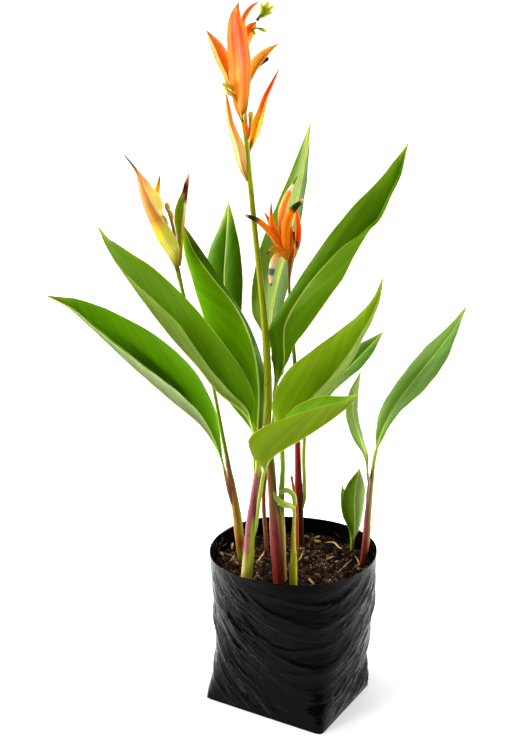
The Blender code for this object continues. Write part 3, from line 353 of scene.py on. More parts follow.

# %% [markdown]
# The thirteen open leaves repeat the CAD's lists: the petiole's points, the midrib, both margins and the
# tip, with the shoot that carries the leaf. To these come the colours: the upper face and the underside,
# each for the left and the right half of the blade, and the petiole by its distance from the foot. On some
# leaves a half is paler and greyer than its green where it shows a soft sheen: that is painted sheen.

# %% Leaves as lists
LEAVES = {
    "leaf_left_low": dict(
        beside=("shoot_left", 236, (-1.0, -0.6)), petiole_radius=1.8,
        petiole=[(-68, 11, 262)],
        rib=[(-72, 9, 280), (-89, 2, 314), (-124, -8, 351), (-166, -20, 396), (-206, -32, 442),
             (-230, -40, 468)],
        left=[(-74, 6, 284), (-87, -8, 325), (-113, -28, 365), (-151, -40, 401), (-195, -44, 440),
              (-224, -44, 466)],
        right=[(-70.5, 7, 287), (-76, 12, 327), (-99, 13, 376), (-140, 3, 420), (-190, -18, 457),
               (-221, -36, 474)],
        tip=(-249, -45, 480),
        upper=("#69A404", "#6CA606"), under=("#86965F", "#768B46"), shade_band=(0.36, 0.84, 0.06, 0.44),
        stalk=[(0, "#8A4A4A"), (30, "#8A5A48"), (48, "#8F7A30"), (66, "#9AA03A")]),
    "leaf_left_high": dict(
        on="shoot_front", petiole_radius=2.9,
        petiole=[(-33, -48, 311), (-36, -43, 332)],
        rib=[(-44, -40, 346), (-73, -40, 372), (-94, -37, 399), (-121, -36, 431), (-147, -40, 469),
             (-165, -44, 498), (-179, -49, 522)],
        left=[(-41, -46, 351), (-66, -52, 383), (-87, -56, 412), (-114, -64, 457), (-147, -63, 490),
              (-167, -58, 508), (-184, -54, 532)],
        right=[(-35, -35, 358), (-47, -24, 388), (-74, -19, 427), (-102, -10, 460), (-137, -13, 497),
               (-163, -22, 519), (-182, -37, 537)],
        tip=(-193, -56, 557),
        upper=("#648E0A", "#64940A"), under=("#69822A", "#738935"),
        stalk=[(0, "#94525A"), (12, "#9A9A30"), (60, "#94A62C")]),
    "leaf_left_back": dict(
        beside=("shoot_front", 262, (0.9, 1.0)), petiole_radius=1.9,
        petiole=[(-31, -33, 301)],
        rib=[(-32, -20, 322), (-31, -6, 363), (-38, 4, 409), (-55, 10, 448), (-81, 16, 481),
             (-99, 25, 505)],
        left=[(-38, -20, 318), (-65, -17, 356), (-78, -4, 393), (-87, 9, 428), (-98, 18, 464),
              (-109, 28, 502)],
        right=[(-25, -10, 328), (-22, 16, 354), (-31, 23, 386), (-46, 27, 423), (-69, 29, 468),
               (-93, 30, 508)],
        tip=(-112, 31, 536),
        upper=("#629804", "#3A6004"), under=("#7A9C30", "#7A9C30"),
        stalk=[(0, "#6A8420"), (50, "#6A8A18")]),
    "leaf_back_flat": dict(
        beside=("shoot_front", 240, (0.2, 1.0)), petiole_radius=1.8,
        petiole=[(-35, -38, 280), (-36, -18, 306), (-40, 14, 340), (-48, 38, 372)],
        rib=[(-57, 46, 401), (-66, 50, 433), (-68, 52, 467), (-66, 52, 500), (-64, 52, 531)],
        left=[(-62, 47, 400), (-84, 58, 431), (-89, 64, 465), (-83, 62, 497), (-71, 58, 528)],
        right=[(-53, 43, 404), (-49, 43, 436), (-48, 44, 471), (-51, 45, 504), (-57, 48, 533)],
        tip=(-63, 52, 552),
        upper=("#3C6403", "#385F03"), under=("#3C6403", "#385F03"),
        stalk=[(0, "#5A8A10"), (50, "#6A9A18")]),
    "leaf_back_tall": dict(
        beside=("shoot_main", 374, (0.4, 1.0)), petiole_radius=1.7,
        petiole=[(-20, -3, 399)],
        rib=[(-20, 10, 412), (-18, 24, 434), (-12, 32, 466), (-2, 38, 503), (6, 44, 539), (14, 48, 579),
             (20, 50, 614)],
        left=[(-16, 14, 412), (-8, 38, 430), (1, 54, 458), (9, 62, 494), (15, 66, 534), (20, 63, 574),
              (22, 57, 612)],
        right=[(-26, 18, 413), (-38, 38, 432), (-38, 50, 460), (-30, 59, 498), (-16, 64, 535),
               (0, 61, 575), (14, 57, 613)],
        tip=(23, 50, 638),
        upper=("#5A820C", "#4E6A20"), under=("#4C6824", "#5C7A20"),
        stalk=[(0, "#6A8A14"), (50, "#7AA020")]),
    "leaf_right_high": dict(
        beside=("shoot_main", 336, (1.0, -0.2)), petiole_radius=2.0,
        petiole=[(-14, -20, 366)],
        rib=[(-6, -13, 384), (-2, -9, 439), (14, -5, 468), (40, 0, 500), (59, 2, 519), (78, 4, 532),
             (92, 8, 543), (105, 11, 569), (114, 13, 590)],
        left=[(-18, -9, 398), (-20, -4, 431), (-4, 2, 457), (19, 10, 492), (37, 13, 519), (56, 15, 544),
              (75, 17, 566), (96, 19, 588), (112, 18, 609)],
        right=[(-3, -16, 392), (11, -21, 424), (32, -24, 455), (55, -26, 490), (70, -22, 519),
               (83, -12, 539), (92, 0, 544), (105, 7, 569), (115, 10, 590)],
        tip=(123, 16, 625),
        # Painted light: the right half's bright underside stands for light shining through the blade.
        upper=("#507A05", "#588308"), under=("#7A9C20", "#8EB436"),
        stalk=[(0, "#7F8F18"), (20, "#8FA820"), (50, "#9AB838")]),
    "leaf_right_mid": dict(
        on="shoot_slim", petiole_radius=2.6,
        petiole=[(-6, -42, 304)],
        rib=[(-5, -42, 328), (17, -45, 360), (46, -48, 392), (63, -50, 417), (75, -52, 439),
             (88, -53, 465), (93, -55, 485)],
        left=[(-13, -37, 334), (-17, -33, 358), (-2, -28, 390), (27, -28, 416), (51, -34, 437),
              (73, -43, 460), (86, -50, 479)],
        right=[(2, -48, 335), (34, -60, 370), (51, -68, 394), (66, -70, 420), (77, -64, 442),
               (89, -60, 467), (94, -58, 485)],
        tip=(96, -55, 504),
        # Painted sheen: the right half's paler, greyer colours, above and beneath.
        upper=("#78990B", "#7A943A"), under=("#6A9430", "#98B060"),
        stalk=[(0, "#6A8418"), (60, "#6A8C18")]),
    "leaf_right_behind": dict(
        beside=("shoot_back", 216, (1.0, -0.3)), petiole_radius=2.1,
        petiole=[(18, 41, 269), (20, 35, 300)],
        rib=[(28, 30, 328), (49, 26, 356), (70, 22, 381), (86, 18, 401)],
        left=[(22, 33, 335), (37, 45, 365), (59, 41, 387), (79, 27, 403)],
        right=[(35, 25, 329), (57, 9, 362), (77, 6, 381), (90, 10, 397)],
        tip=(101, 14, 420),
        # Painted sheen: the right half's greyer colour above and its pale one beneath.
        upper=("#456B12", "#537A2C"), under=("#6A9430", "#9AB070"),
        stalk=[(0, "#8A8A20"), (20, "#98A028"), (110, "#8A9C24")]),
    "leaf_front": dict(
        beside=("shoot_front", 226, (1.0, -0.7)), petiole_radius=1.9,
        petiole=[(-29, -60, 268), (-25, -63, 292)],
        rib=[(-21, -66, 304), (-13, -70, 314), (8, -78, 331), (29, -85, 348), (49, -92, 366),
             (62, -97, 380)],
        left=[(-19, -60, 312), (-9, -58, 335), (0, -58, 355), (13, -62, 368), (34, -72, 380),
              (58, -88, 386)],
        right=[(-37, -76, 313), (-42, -86, 336), (-24, -98, 357), (5, -104, 371), (34, -106, 382),
               (56, -104, 387)],
        tip=(71, -101, 393),
        upper=("#5E8C08", "#60900A"), under=("#7F9C10", "#7F9C10"),
        stalk=[(0, "#8A9230"), (24, "#8E9A34"), (80, "#98A83A")]),
    "leaf_right_small": dict(
        beside=("shoot_right", 236, (-0.6, -1.0)), petiole_radius=1.7,
        petiole=[(86, 0, 262)],
        rib=[(85, 1, 277), (78, -2, 303), (69, -6, 336), (71, -9, 362)],
        left=[(82, 1, 281), (69, -8, 307), (61, -15, 340), (65, -13, 363)],
        right=[(87, 1, 281), (82, 6, 299), (75, 2, 333), (75, -5, 361)],
        tip=(77, -11, 385),
        # Painted sheen: the pale right half.
        upper=("#809F42", "#96B264"), under=("#6A8A34", "#94A86A"),
        stalk=[(0, "#7A4A48"), (30, "#94706A"), (50, "#8A9A50")]),
    "leaf_right_far": dict(
        on="shoot_right", petiole_radius=2.1,
        petiole=[(95, 9, 284)],
        rib=[(98, 9, 298), (111, 5, 332), (134, 0, 370), (157, -5, 404), (175, -9, 433)],
        left=[(94, 12, 300), (99, 18, 329), (120, 24, 364), (145, 18, 400), (169, 2, 431)],
        right=[(102, 6, 300), (117, -10, 335), (143, -22, 367), (165, -23, 400), (178, -17, 434)],
        tip=(186, -12, 458),
        # Painted sheen: the greyish green of the upper face.
        upper=("#688C2D", "#6C9240"), under=("#7A9C40", "#8AA840"),
        stalk=[(0, "#6A4A38"), (12, "#94A838"), (40, "#A0B840")]),
    "leaf_low_right": dict(
        on="shoot_small", petiole_radius=2.3,
        petiole=[(72.5, 44, 166)],
        rib=[(75, 41, 178), (75, 40, 192), (74, 38, 211), (75, 36, 232)],
        left=[(69, 40, 177), (61, 36, 198), (59, 33, 216), (65, 32, 236)],
        right=[(79, 42, 177), (83, 43, 193), (85, 41, 213), (85, 38, 232)],
        tip=(79, 34, 255),
        upper=("#4F7208", "#8AA45A"), under=("#5F8A14", "#7AA024"),
        stalk=[(0, "#7F9434"), (30, "#6F8C28")]),
    "leaf_low_second": dict(
        beside=("shoot_small", 154, (-0.2, 1.0)), petiole_radius=1.2,
        petiole=[(70, 52, 172)],
        rib=[(67, 50, 188), (63, 48, 209)],
        left=[(62, 50, 189), (59, 48, 210)],
        right=[(72, 50, 189), (68, 48, 209)],
        tip=(60, 47, 231),
        upper=("#4F7208", "#5F8408"), under=("#4F7208", "#5F8408"),
        stalk=[(0, "#6A8A18"), (30, "#5A8A18")]),
}
print("shoots:", len(SHOOTS), "leaves:", len(LEAVES))

# %% [markdown]
# A petiole starts inside the shoot that carries it, as a real one grows out of its sheath: either at the
# shoot's upper end, or beside it at a height, where it first hugs the shoot and then leans away.

# %% Where petioles start
SEAT = 0.48  # gap between a shoot and the petiole that lies against it
PETIOLE_HUG = 15.0  # how far a petiole runs along its shoot
PETIOLE_LEAN = 0.6  # and how far it has moved away by then
CUT_END_RUN = 9.0  # how far a petiole goes straight on from the upper end of its shoot
FOOT_DEPTH = 22  # how far below the seat a petiole's foot is, inside the shoot
SHOOT_STEPS = 8


def shoot_at(name, height):
    """Centre, radius and direction of a shoot where it passes a height."""
    path = spline(SHOOTS[name]["path"], SHOOT_STEPS)
    radius = spline(SHOOTS[name]["radius"], SHOOT_STEPS, even=True)
    near = int(np.argmin(np.abs(path[:, 2] - height)))
    return path[near], radius[near], tangents(path)[near]


def petiole_start(leaf):
    """The petiole's first points, and its radius at each as a share of the full one. The first point of all
    lies inside the shoot."""
    if "on" in leaf:
        path = spline(SHOOTS[leaf["on"]]["path"], SHOOT_STEPS)
        forward = tangents(path)[-1]
        return [path[-1] + run * forward for run in (-5, SEAT, CUT_END_RUN)], [0.9, 1, 1]
    name, height, towards = leaf["beside"]
    away = unit((*towards, 0.0))
    points = []
    for rise, spread in ((-FOOT_DEPTH, -0.7), (0, 0.0), (PETIOLE_HUG, PETIOLE_LEAN)):
        centre, radius, forward = shoot_at(name, height + rise)
        out = unit(away - forward * (away @ forward))
        apart = (radius + leaf["petiole_radius"] + SEAT) * (0.55 if rise < 0 else 1) + spread
        points.append(centre + out * apart)
    return points, [0.55, 0.95, 1]


# %% [markdown]
# A blade is lofted from rings that run once round its section: over the upper face from the left margin to
# the right, and back beneath. Points lie closer at the midrib and at the margins, where the detail is: a
# narrow channel above, a rounded keel below, and the thin pale rim that shows as a bright line where a
# margin catches the light.

# %% Leaf blades
RINGS_A_STATION = 18
HALF = (0.012, 0.03, 0.055, 0.09, 0.14, 0.2, 0.28, 0.37, 0.46, 0.55, 0.64, 0.73, 0.81, 0.88, 0.93, 0.965,
        0.988)
ACROSS = np.array([1.0, *HALF[::-1], 0.0, *[-u for u in HALF], -1.0])
BENEATH = ACROSS[::-1][1:-1]
BLADE_EDGE = 0.35  # thickness at the margin
BLADE_BODY = 0.55  # more of it towards the midrib
BRACT_BODY = 0.4
CHANNEL_DEPTH, CHANNEL_WIDTH = 0.12, 1.1  # of the groove above the midrib
KEEL_WIDTH = 1.3  # of the ridge below it
RIPPLES = 9  # waves along a margin
PLEAT_HEIGHT, PLEAT_SPACING = 0.05, 7  # of the low folds between the veins
VEIN_LEAN = 2.4  # how far a vein runs forward for each millimetre outwards, at the midrib
VEIN_BEND = 0.035  # and how much more with each further millimetre


def blade(petiole, shares, leaf, thick, ripple_height, ridge, arch, steps=RINGS_A_STATION):
    """A leaf or bract as a closed shell: a round petiole that opens into a thin blade. Thick is what the
    blade has more than its margin, ridge the height of the keel and arch the swelling of each half."""
    rib = leaf["rib"]
    centre = spline(list(petiole) + list(rib) + [leaf["tip"]], steps)
    plain = max(len(petiole) - 1, 0) * steps
    closed = [(0.0, 0.0, 0.0)]
    base = closed if len(petiole) else []
    reaches = []
    for side in ("left", "right"):
        offsets = [np.subtract(p, m) for p, m in zip(leaf[side], rib)]
        open_part = spline(base + offsets + closed, steps, even=True)
        reaches.append(np.vstack([np.zeros((plain, 3)), open_part]))
    to_left, to_right = reaches
    ahead = tangents(centre)
    steps_to_open = steps if len(petiole) else steps // 2
    opened = np.clip((np.arange(len(centre)) - plain) / steps_to_open, 0, 1) ** 0.7
    facing = np.cross(ahead, to_left - to_right)
    facing[:len(petiole) * steps] = facing[len(petiole) * steps]
    normal = unit(facing - ahead * (facing * ahead).sum(axis=1, keepdims=True))
    side = np.cross(normal, ahead)
    wide = np.maximum(np.linalg.norm(to_left, axis=1), np.linalg.norm(to_right, axis=1))
    gone = lengths(centre)
    share = gone / gone[-1]
    stations = np.arange(len(shares)) * steps
    radii = leaf["petiole_radius"] * np.interp(np.arange(len(centre)), stations, shares)
    phase = rng.uniform(0, 2 * math.pi)
    columns, tints, lays = [], [], []
    over, back = np.linspace(20, 160, len(ACROSS)), np.linspace(200, 340, len(BENEATH))
    turns = np.radians(np.append(over, back))
    for n, u in enumerate(np.append(ACROSS, BENEATH)):
        above = n < len(ACROSS)
        reach = to_left if u > 0 else to_right
        half = 0 if u > 0 else 1
        lift = np.cross(ahead, reach) if u > 0 else np.cross(reach, ahead)
        lift = unit(lift * np.sign((lift * normal).sum(axis=1, keepdims=True)) + normal)
        out = np.linalg.norm(reach, axis=1) * abs(u)
        vein = gone - VEIN_LEAN * out - VEIN_BEND * out ** 2
        pleats = PLEAT_HEIGHT * np.sin(2 * math.pi * vein / PLEAT_SPACING)
        corrugation = pleats * (1 - abs(u)) * min(1, 6 * abs(u))
        ripple = ripple_height * np.minimum(wide / 20, 1) * u * u
        ripple = ripple * np.sin(2 * math.pi * RIPPLES * share + phase + 2 * u)
        rise = arch * wide * 4 * abs(u) * (1 - abs(u)) + ripple + corrugation
        strength = 1 - 0.75 * share
        if above:
            rise = rise - CHANNEL_DEPTH * strength * np.exp(-(out / CHANNEL_WIDTH) ** 2)
        else:
            rise = rise - BLADE_EDGE - thick * (1 - u * u)
            rise = rise - ridge * strength * np.exp(-(out / KEEL_WIDTH) ** 2)
        flat = reach * abs(u) + lift * rise[:, None]
        round_part = radii[:, None] * (math.cos(turns[n]) * side + math.sin(turns[n]) * normal)
        columns.append(centre + (1 - opened)[:, None] * round_part + opened[:, None] * flat)
        tints.append(leaf["paint"](u, half, above, out, wide, gone, share, opened))
        lays.append(np.column_stack([vein, out * np.sign(u), gone]))
    rings = np.stack(columns, axis=1)
    rings[-1] = centre[-1] + (rings[-2] - rings[-2].mean(axis=0)) * 0.3
    return loft(rings, np.stack(tints, axis=1), np.stack(lays, axis=1))


# %% [markdown]
# Every point of a leaf gets its colour: green by half and face, paler on the midrib, at the margin
# and at the tip. One leaf also carries a painted shadow: the soft shadow band that the leaf above it leaves
# on its right half. The petiole's colours pass into the blade where that opens.

# %% Leaves
MARGIN_COLOUR = "#B9C846"
MIDRIB_COLOUR = "#D4E468"
PAINTED_SHADOW_COLOUR = "#2A4E04"
MARGIN_WIDTH = 0.8
MIDRIB_WIDTH = 1.2
LEAF_RIPPLE, LEAF_KEEL, LEAF_ARCH = 0.25, 1.1, 0.10


def leaf_paint(leaf):
    """The colour of a leaf at a point of its section, with painted sheen and painted shadow where its lists
    give them.
    """
    rim, rib = linear(MARGIN_COLOUR), linear(MIDRIB_COLOUR)
    stalk_length = leaf["stalk"][-1][0]

    def paint(u, half, above, out, wide, gone, share, opened):
        face = linear((leaf["upper"] if above else leaf["under"])[half])
        colour = np.repeat(face[None, :], len(gone), axis=0)
        near_rib = np.exp(-(out / (MIDRIB_WIDTH * (1.1 - 0.8 * share))) ** 2)[:, None]
        colour = mix(colour, rib, 0.85 * near_rib)
        edge = wide * (1 - abs(u))
        colour = mix(colour, rim, smooth(MARGIN_WIDTH, 0.3 * MARGIN_WIDTH, edge)[:, None] * 0.9)
        colour = mix(colour, rim, 0.35 * smooth(0.9, 1.0, share)[:, None])
        # Painted shadow: a darker band near the midrib of the right half, where the leaf above shades it.
        if above and "shade_band" in leaf:
            start, end, inner, outer = leaf["shade_band"]
            along = smooth(start, start + 0.12, share) * smooth(end, end - 0.25, share)
            inside = smooth(inner - 0.05, inner, abs(u)) * smooth(outer + 0.05, outer - 0.05, abs(u))
            colour = mix(colour, linear(PAINTED_SHADOW_COLOUR), (0.85 * along * inside * (u < 0))[:, None])
        stalk = along_stops(leaf["stalk"], np.minimum(gone, stalk_length))
        return mix(stalk, colour, opened[:, None] ** 1.5)

    return paint


for name, leaf in LEAVES.items():
    start, shares = petiole_start(leaf)
    leaf["paint"] = leaf_paint(leaf)
    shell = blade(start + leaf["petiole"], shares + [1.0] * (len(leaf["petiole"]) + 1), leaf,
                  BLADE_BODY, LEAF_RIPPLE, LEAF_KEEL, LEAF_ARCH)
    make_piece(name + "_blade", [shell], living_leaf, [name])

# %% [markdown]
# A shoot of a heliconia isn't a solid stem: it is made of leaf sheaths rolled round each other. Each
# sheath ends in a slanting mouth where its leaf or the next sheath comes out, and leaves a small step
# there. The shoots are lofted round their paths with such steps, and their colours run from the earthy
# foot through maroon to green, with fine fibres along them.

# %% Sheath and dry fibre materials
STEM_SHEEN = (1.0, 0.95, 0.6, 1.0)


def stem_material(name, roughness, speckle):
    """Fibrous stem: fine streaks along it and darker specks. A living one is satin, a dry one dull."""
    made, tree, shader = new_material(name, Roughness=roughness, IOR=PLANT_IOR, Specular_IOR_Level=0.3,
                                      Specular_Tint=STEM_SHEEN)
    lay = attribute(tree, "lay", "Vector")
    fibres = stretched_noise(tree, lay, (1.1, 1.1, 0.03), 3.0)
    flecks = stretched_noise(tree, lay, (0.5, 0.5, 0.16), 4.0)
    colour = shaded_tint(tree, fibres, 0.3, 0.7, 0.72, 1.25)
    spots = add(tree, "ShaderNodeMapRange", {"Value": flecks, "From Min": 0.60, "From Max": 0.72,
                                             "To Min": 0.0, "To Max": speckle})
    worn = add(tree, "ShaderNodeMix", {"Factor": spots.outputs[0], "A": colour,
                                       "B": (*linear("#4A2A14"), 1)}, data_type="RGBA")
    wear(tree, shader, worn.outputs["Result"], fibres, 0.4, 0.0004)
    return made


living_stem = stem_material("living_leaf_sheath", 0.42, 0.55)
dry_fibre = stem_material("dry_stem_fibre", 0.8, 0.8)

# %% [markdown]
# Stems, buds and florets are swept: rings round a path, without a twist. A shoot's rings also widen by a
# small step below the mouth of each sheath, which slants towards a side that is drawn at random.

# %% Shoots
STEM_SIDES, STEM_STEPS = 40, 16
SHEATH_STEP = 0.4
SHEATH_SLANT = 9.0
LIP_COLOUR = "#6A4420"


def sweep(path, radius, steps, sides, widen=None):
    """Rings round a path, and the angle, place along it and radius that belong to them. Angle 0 looks to the
    right of the object and 270 degrees to its front."""
    line = spline(path, steps)
    radii = spline(radius, steps, even=True)
    ahead = tangents(line)
    across = np.array([1.0, 0.0, 0.0])
    angle = np.linspace(0, 2 * math.pi, sides, endpoint=False)
    rings = []
    for i, forward in enumerate(ahead):
        across = unit(across - forward * (across @ forward))
        back = np.cross(forward, across)
        r = radii[i] + (widen(angle, line[i]) if widen else 0)
        rings.append(line[i] + np.outer(np.cos(angle) * r, across) + np.outer(np.sin(angle) * r, back))
    return np.array(rings), angle, lengths(line), radii


def stem_lay(rings, angle, gone, radii):
    """Lay of a swept organ: two numbers across it, one along it."""
    across = np.cos(angle)[None, :] * radii[:, None]
    back = np.sin(angle)[None, :] * radii[:, None]
    return np.stack([across, back, np.broadcast_to(gone[:, None], across.shape)], axis=-1)


def build_shoot(name, shoot):
    """One leafy shoot with its sheath steps."""
    turn = rng.uniform(0, 2 * math.pi, len(shoot["sheaths"]))

    def widen(angle, at):
        extra = np.zeros_like(angle)
        for mouth, towards in zip(shoot["sheaths"], turn):
            extra += SHEATH_STEP * smooth(1.0, -1.0, at[2] - mouth - SHEATH_SLANT * np.cos(angle - towards))
        return extra - SHEATH_STEP * 0.5

    rings, angle, gone, radii = sweep(shoot["path"], shoot["radius"], STEM_STEPS, STEM_SIDES, widen)
    heights = rings[:, :, 2]
    # On several shoots the right flank's colours carry painted shade, beside the sheath's own maroon and
    # green.
    rightness = smooth(-0.45, 0.45, np.broadcast_to(np.cos(angle), heights.shape))[..., None]
    tint = mix(along_stops(shoot["left"], heights), along_stops(shoot["right"], heights), rightness)
    for mouth, towards in zip(shoot["sheaths"], turn):
        lip = np.abs(heights - mouth - SHEATH_SLANT * np.cos(angle - towards))
        tint = mix(tint, linear(LIP_COLOUR), 0.6 * smooth(1.6, 0.2, lip)[..., None])
    shell = loft(rings, tint, stem_lay(rings, angle, gone, radii))
    make_piece(name + "_sheaths", [shell], living_stem, [name])


for name, shoot in SHOOTS.items():
    build_shoot(name, shoot)

# %% [markdown]
# Two stems of older shoots have dried and shrunk, so their outline is a little uneven.

# %% Dry stems
DRY = {
    "dry_stem": dict(
        path=[(-22, 45, 120), (-22.6, 45, 156), (-25.5, 41.5, 205), (-25.6, 40, 226), (-23.7, 38, 245),
              (-22, 36, 262)],
        radius=[2.2, 2.2, 2.3, 2.3, 2.2, 1.8],
        stops=[(0, "#5A3420"), (60, "#8A5434"), (110, "#7A4628"), (142, "#6A5A2A")]),
    "dry_stub": dict(
        path=[(9, -30, 120), (9, -30, 152), (10, -32, 205), (8.5, -34, 246), (5, -36, 267),
              (3.8, -36, 275)],
        radius=[1.6, 1.6, 1.6, 1.7, 1.5, 1.3],
        stops=[(0, "#5A3420"), (90, "#9A4A1E"), (155, "#A8541E")]),
}
WOBBLE_HEIGHT, WOBBLE_SIZE = 0.25, 4
for name, stem in DRY.items():
    rings, angle, gone, radii = sweep(stem["path"], stem["radius"], 10, 14)
    wobble = np.array([[WOBBLE_HEIGHT * noise.noise(Vector(p) / WOBBLE_SIZE) for p in ring]
                       for ring in rings])
    rings = rings + wobble[..., None] * unit(rings - rings.mean(axis=1, keepdims=True))
    tint = np.broadcast_to(along_stops(stem["stops"], gone)[:, None, :], rings.shape)
    make_piece(name + "_fibre", [loft(rings, tint, stem_lay(rings, angle, gone, radii))], dry_fibre,
               [name])

# %% [markdown]
# Bracts are fleshy, satin boats; the flowers between them are slim tubes. Both have a smooth change of
# colour from foot to tip, with fine lines along them, and they let a little light through.

# %% Bract material
PETAL_SHEEN = (1.0, 0.8, 0.45, 1.0)


def petal_material(name, roughness):
    """Fleshy bract or petal: satin, translucent, with fine lines along it."""
    made, tree, shader = new_material(name, Roughness=roughness, IOR=PLANT_IOR, Subsurface_Weight=0.35,
                                      Subsurface_Scale=0.003, Specular_IOR_Level=0.15,
                                      Specular_Tint=PETAL_SHEEN, Subsurface_Radius=(1.0, 0.6, 0.25))
    lines = stretched_noise(tree, attribute(tree, "lay", "Vector"), (0.0, 1.3, 0.03), 2.0)
    wear(tree, shader, shaded_tint(tree, lines, 0.3, 0.7, 0.86, 1.12), lines, 0.3, 0.0003)
    return made


bract_flesh = petal_material("fleshy_bract", 0.4)
petal_flesh = petal_material("petal_flesh", 0.35)

# %% [markdown]
# The top inflorescence is the oldest and largest. A bract has its keel, half its width at each point, the
# way its boat opens, and colours along it: of the flesh, and of the pale margin. On the first two bracts a
# paler band along the belly is a painted highlight. Buds are short tubes.

# %% Top bloom as lists
TOP_AXIS = dict(
    path=[(-38.6, 0, 577), (-41, 0, 600), (-43, 0, 627), (-47, 0, 654), (-49, 0, 668), (-47, 0, 681),
          (-49, -1, 693), (-46, 0, 710), (-47, 1, 727), (-45, 2, 742), (-46, 3, 751)],
    radius=[2.9, 2.9, 2.6, 2.3, 2.5, 2.5, 2.3, 2.1, 1.8, 1.6, 2.1],
    stops=[(0, "#8C9C14"), (62, "#94A21A"), (84, "#B8901A"), (104, "#D8780A"), (175, "#C8A01A")])
TOP_BRACTS = [
    dict(keel=[(-42.5, -1, 590), (-46.5, -3, 598), (-50.2, -4.5, 612), (-53.2, -6, 627), (-57, -7, 640),
               (-60.3, -7, 652), (-62.5, -7, 667)],
         half=[2, 4, 7, 7.6, 6, 4.4, 3.2], opens=(0.35, 0.9, 0.1), flank=60, tip=(-64, -7, 686),
         rim="#F8C080",
         # Painted highlight: the pale cream band at 0.25 to 0.42 of the length.
         stops=[(0, "#8A6A14"), (0.1, "#C08A3A"), (0.25, "#FCC070"), (0.42, "#FCC674"), (0.6, "#FCA050"),
                (0.85, "#F07A30"), (1, "#A84A30")]),
    dict(keel=[(-41, 2, 619), (-36.6, 3, 629), (-33.4, 4, 638), (-30.2, 5, 650), (-27.2, 5, 660.6),
               (-22.9, 6, 676), (-18, 6, 687), (-13.4, 6, 697.5)],
         half=[1.8, 4, 6.4, 7.2, 5.4, 4, 3, 1.6], opens=(-0.4, 0.85, 0.2), flank=60,
         tip=(-9.4, 6, 706.5), rim="#FCA840",
         # Painted highlight: the yellow band at 0.17 to 0.38, over the orange flesh.
         stops=[(0, "#5A300A"), (0.1, "#A86010"), (0.17, "#FCAC20"), (0.38, "#FCB428"), (0.5, "#FC7A14"),
                (0.72, "#F83414"), (0.88, "#F03A44"), (1, "#E0708A")]),
    dict(keel=[(-47.5, -3, 653), (-49, -8, 668), (-50, -13, 688), (-50.3, -16, 710), (-52.2, -16, 732),
               (-53.6, -13.5, 751), (-54.2, -10.5, 763.5)],
         half=[3.6, 9.4, 13.3, 15.1, 14.4, 12.3, 7.2], opens=(0.05, 1.0, 0.1), flank=50,
         tip=(-51, -7, 776.9), rim="#FCAA50",
         stops=[(0, "#6A7A10"), (0.07, "#C0780A"), (0.25, "#E67808"), (0.45, "#EE6E0F"), (0.6, "#F85A14"),
                (0.75, "#F83C06"), (0.9, "#F5560A"), (0.95, "#B0780A"), (1, "#5A4A10")],
         right_stops=[(0, "#6A7A10"), (0.07, "#B0700A"), (0.25, "#E07A10"), (0.45, "#E87834"),
                      (0.6, "#F27048"), (0.75, "#F85A1A"), (0.9, "#F5560A"), (0.95, "#B0780A"),
                      (1, "#5A4A10")]),
    dict(keel=[(-49, 0, 676), (-60, -2, 691), (-64, -4, 703), (-68, -6, 712), (-71.5, -6, 720.5),
               (-74.8, -6, 729), (-78.6, -5.5, 737)],
         half=[3, 7, 9.6, 10.6, 10.4, 9, 5.8], opens=(0.5, 0.85, 0.1), flank=60, tip=(-83.4, -5, 747.5),
         rim="#FC9850",
         stops=[(0, "#D8780A"), (0.3, "#F87A20"), (0.6, "#F88438"), (0.9, "#F09858"), (0.97, "#8A7A20"),
                (1, "#6A6A20")],
         right_stops=[(0, "#D8780A"), (0.3, "#FC860A"), (0.6, "#FC7410"), (0.9, "#F88A3A"),
                      (0.97, "#8A7A20"), (1, "#6A6A20")]),
    dict(keel=[(-47, 1, 680), (-40, 4, 689), (-35, 6, 699), (-28, 8, 710), (-19, 9, 721)],
         half=[3, 10, 12, 12, 8], opens=(-0.6, 0.2, 0.8), flank=30, tip=(-10, 10, 730.5), rim="#FCB468",
         stops=[(0, "#F0880A"), (0.35, "#FFB030"), (0.7, "#FFAC34"), (0.93, "#FFB848"), (1, "#B89A20")]),
    dict(keel=[(-46.5, 2, 656), (-44.8, 3, 665.5), (-43.3, 4, 677.6), (-42.3, 5, 688)],
         half=[2.5, 4, 4.5, 3], opens=(-0.4, 0.9, 0.1), flank=60, tip=(-41.5, 6, 697), rim="#F8A850",
         stops=[(0, "#A8680F"), (0.3, "#E8901A"), (1, "#FC9A20")]),
    dict(keel=[(-46, 2, 720), (-43.5, 4, 732), (-40, 5, 741), (-36.5, 5.6, 748.5)],
         half=[3, 6.8, 8, 5.6], opens=(-0.4, 0.9, 0.1), flank=60, tip=(-33, 6, 754), rim="#F8B060",
         stops=[(0, "#E0780A"), (0.6, "#FC7A0A"), (0.85, "#E8780A"), (1, "#4A6A10")]),
    dict(keel=[(-46.6, 2, 748), (-44.8, 2, 757), (-41, 1, 764.2), (-36.2, 0, 770.5)],
         half=[1.8, 3.8, 4, 2.8], opens=(-0.5, 0.8, 0.4), flank=60, tip=(-30, -1, 776), rim="#F8A060",
         stops=[(0, "#E0780A"), (0.5, "#F8780A"), (1, "#E8602A")]),
]
BUD_GOLD = [(0, "#A8681A"), (0.6, "#C89028"), (0.8, "#B8902A"), (1, "#D8B050")]
FAN_STOPS = [(0, "#5A8A1A"), (0.35, "#94A820"), (0.7, "#D0CC30"), (1, "#E8E050")]
FAN_GREEN = [(0, "#4A6A10"), (1, "#5F8A14")]
YELLOW = [(0, "#C08A1A"), (0.6, "#D8B838"), (1, "#F0E070")]
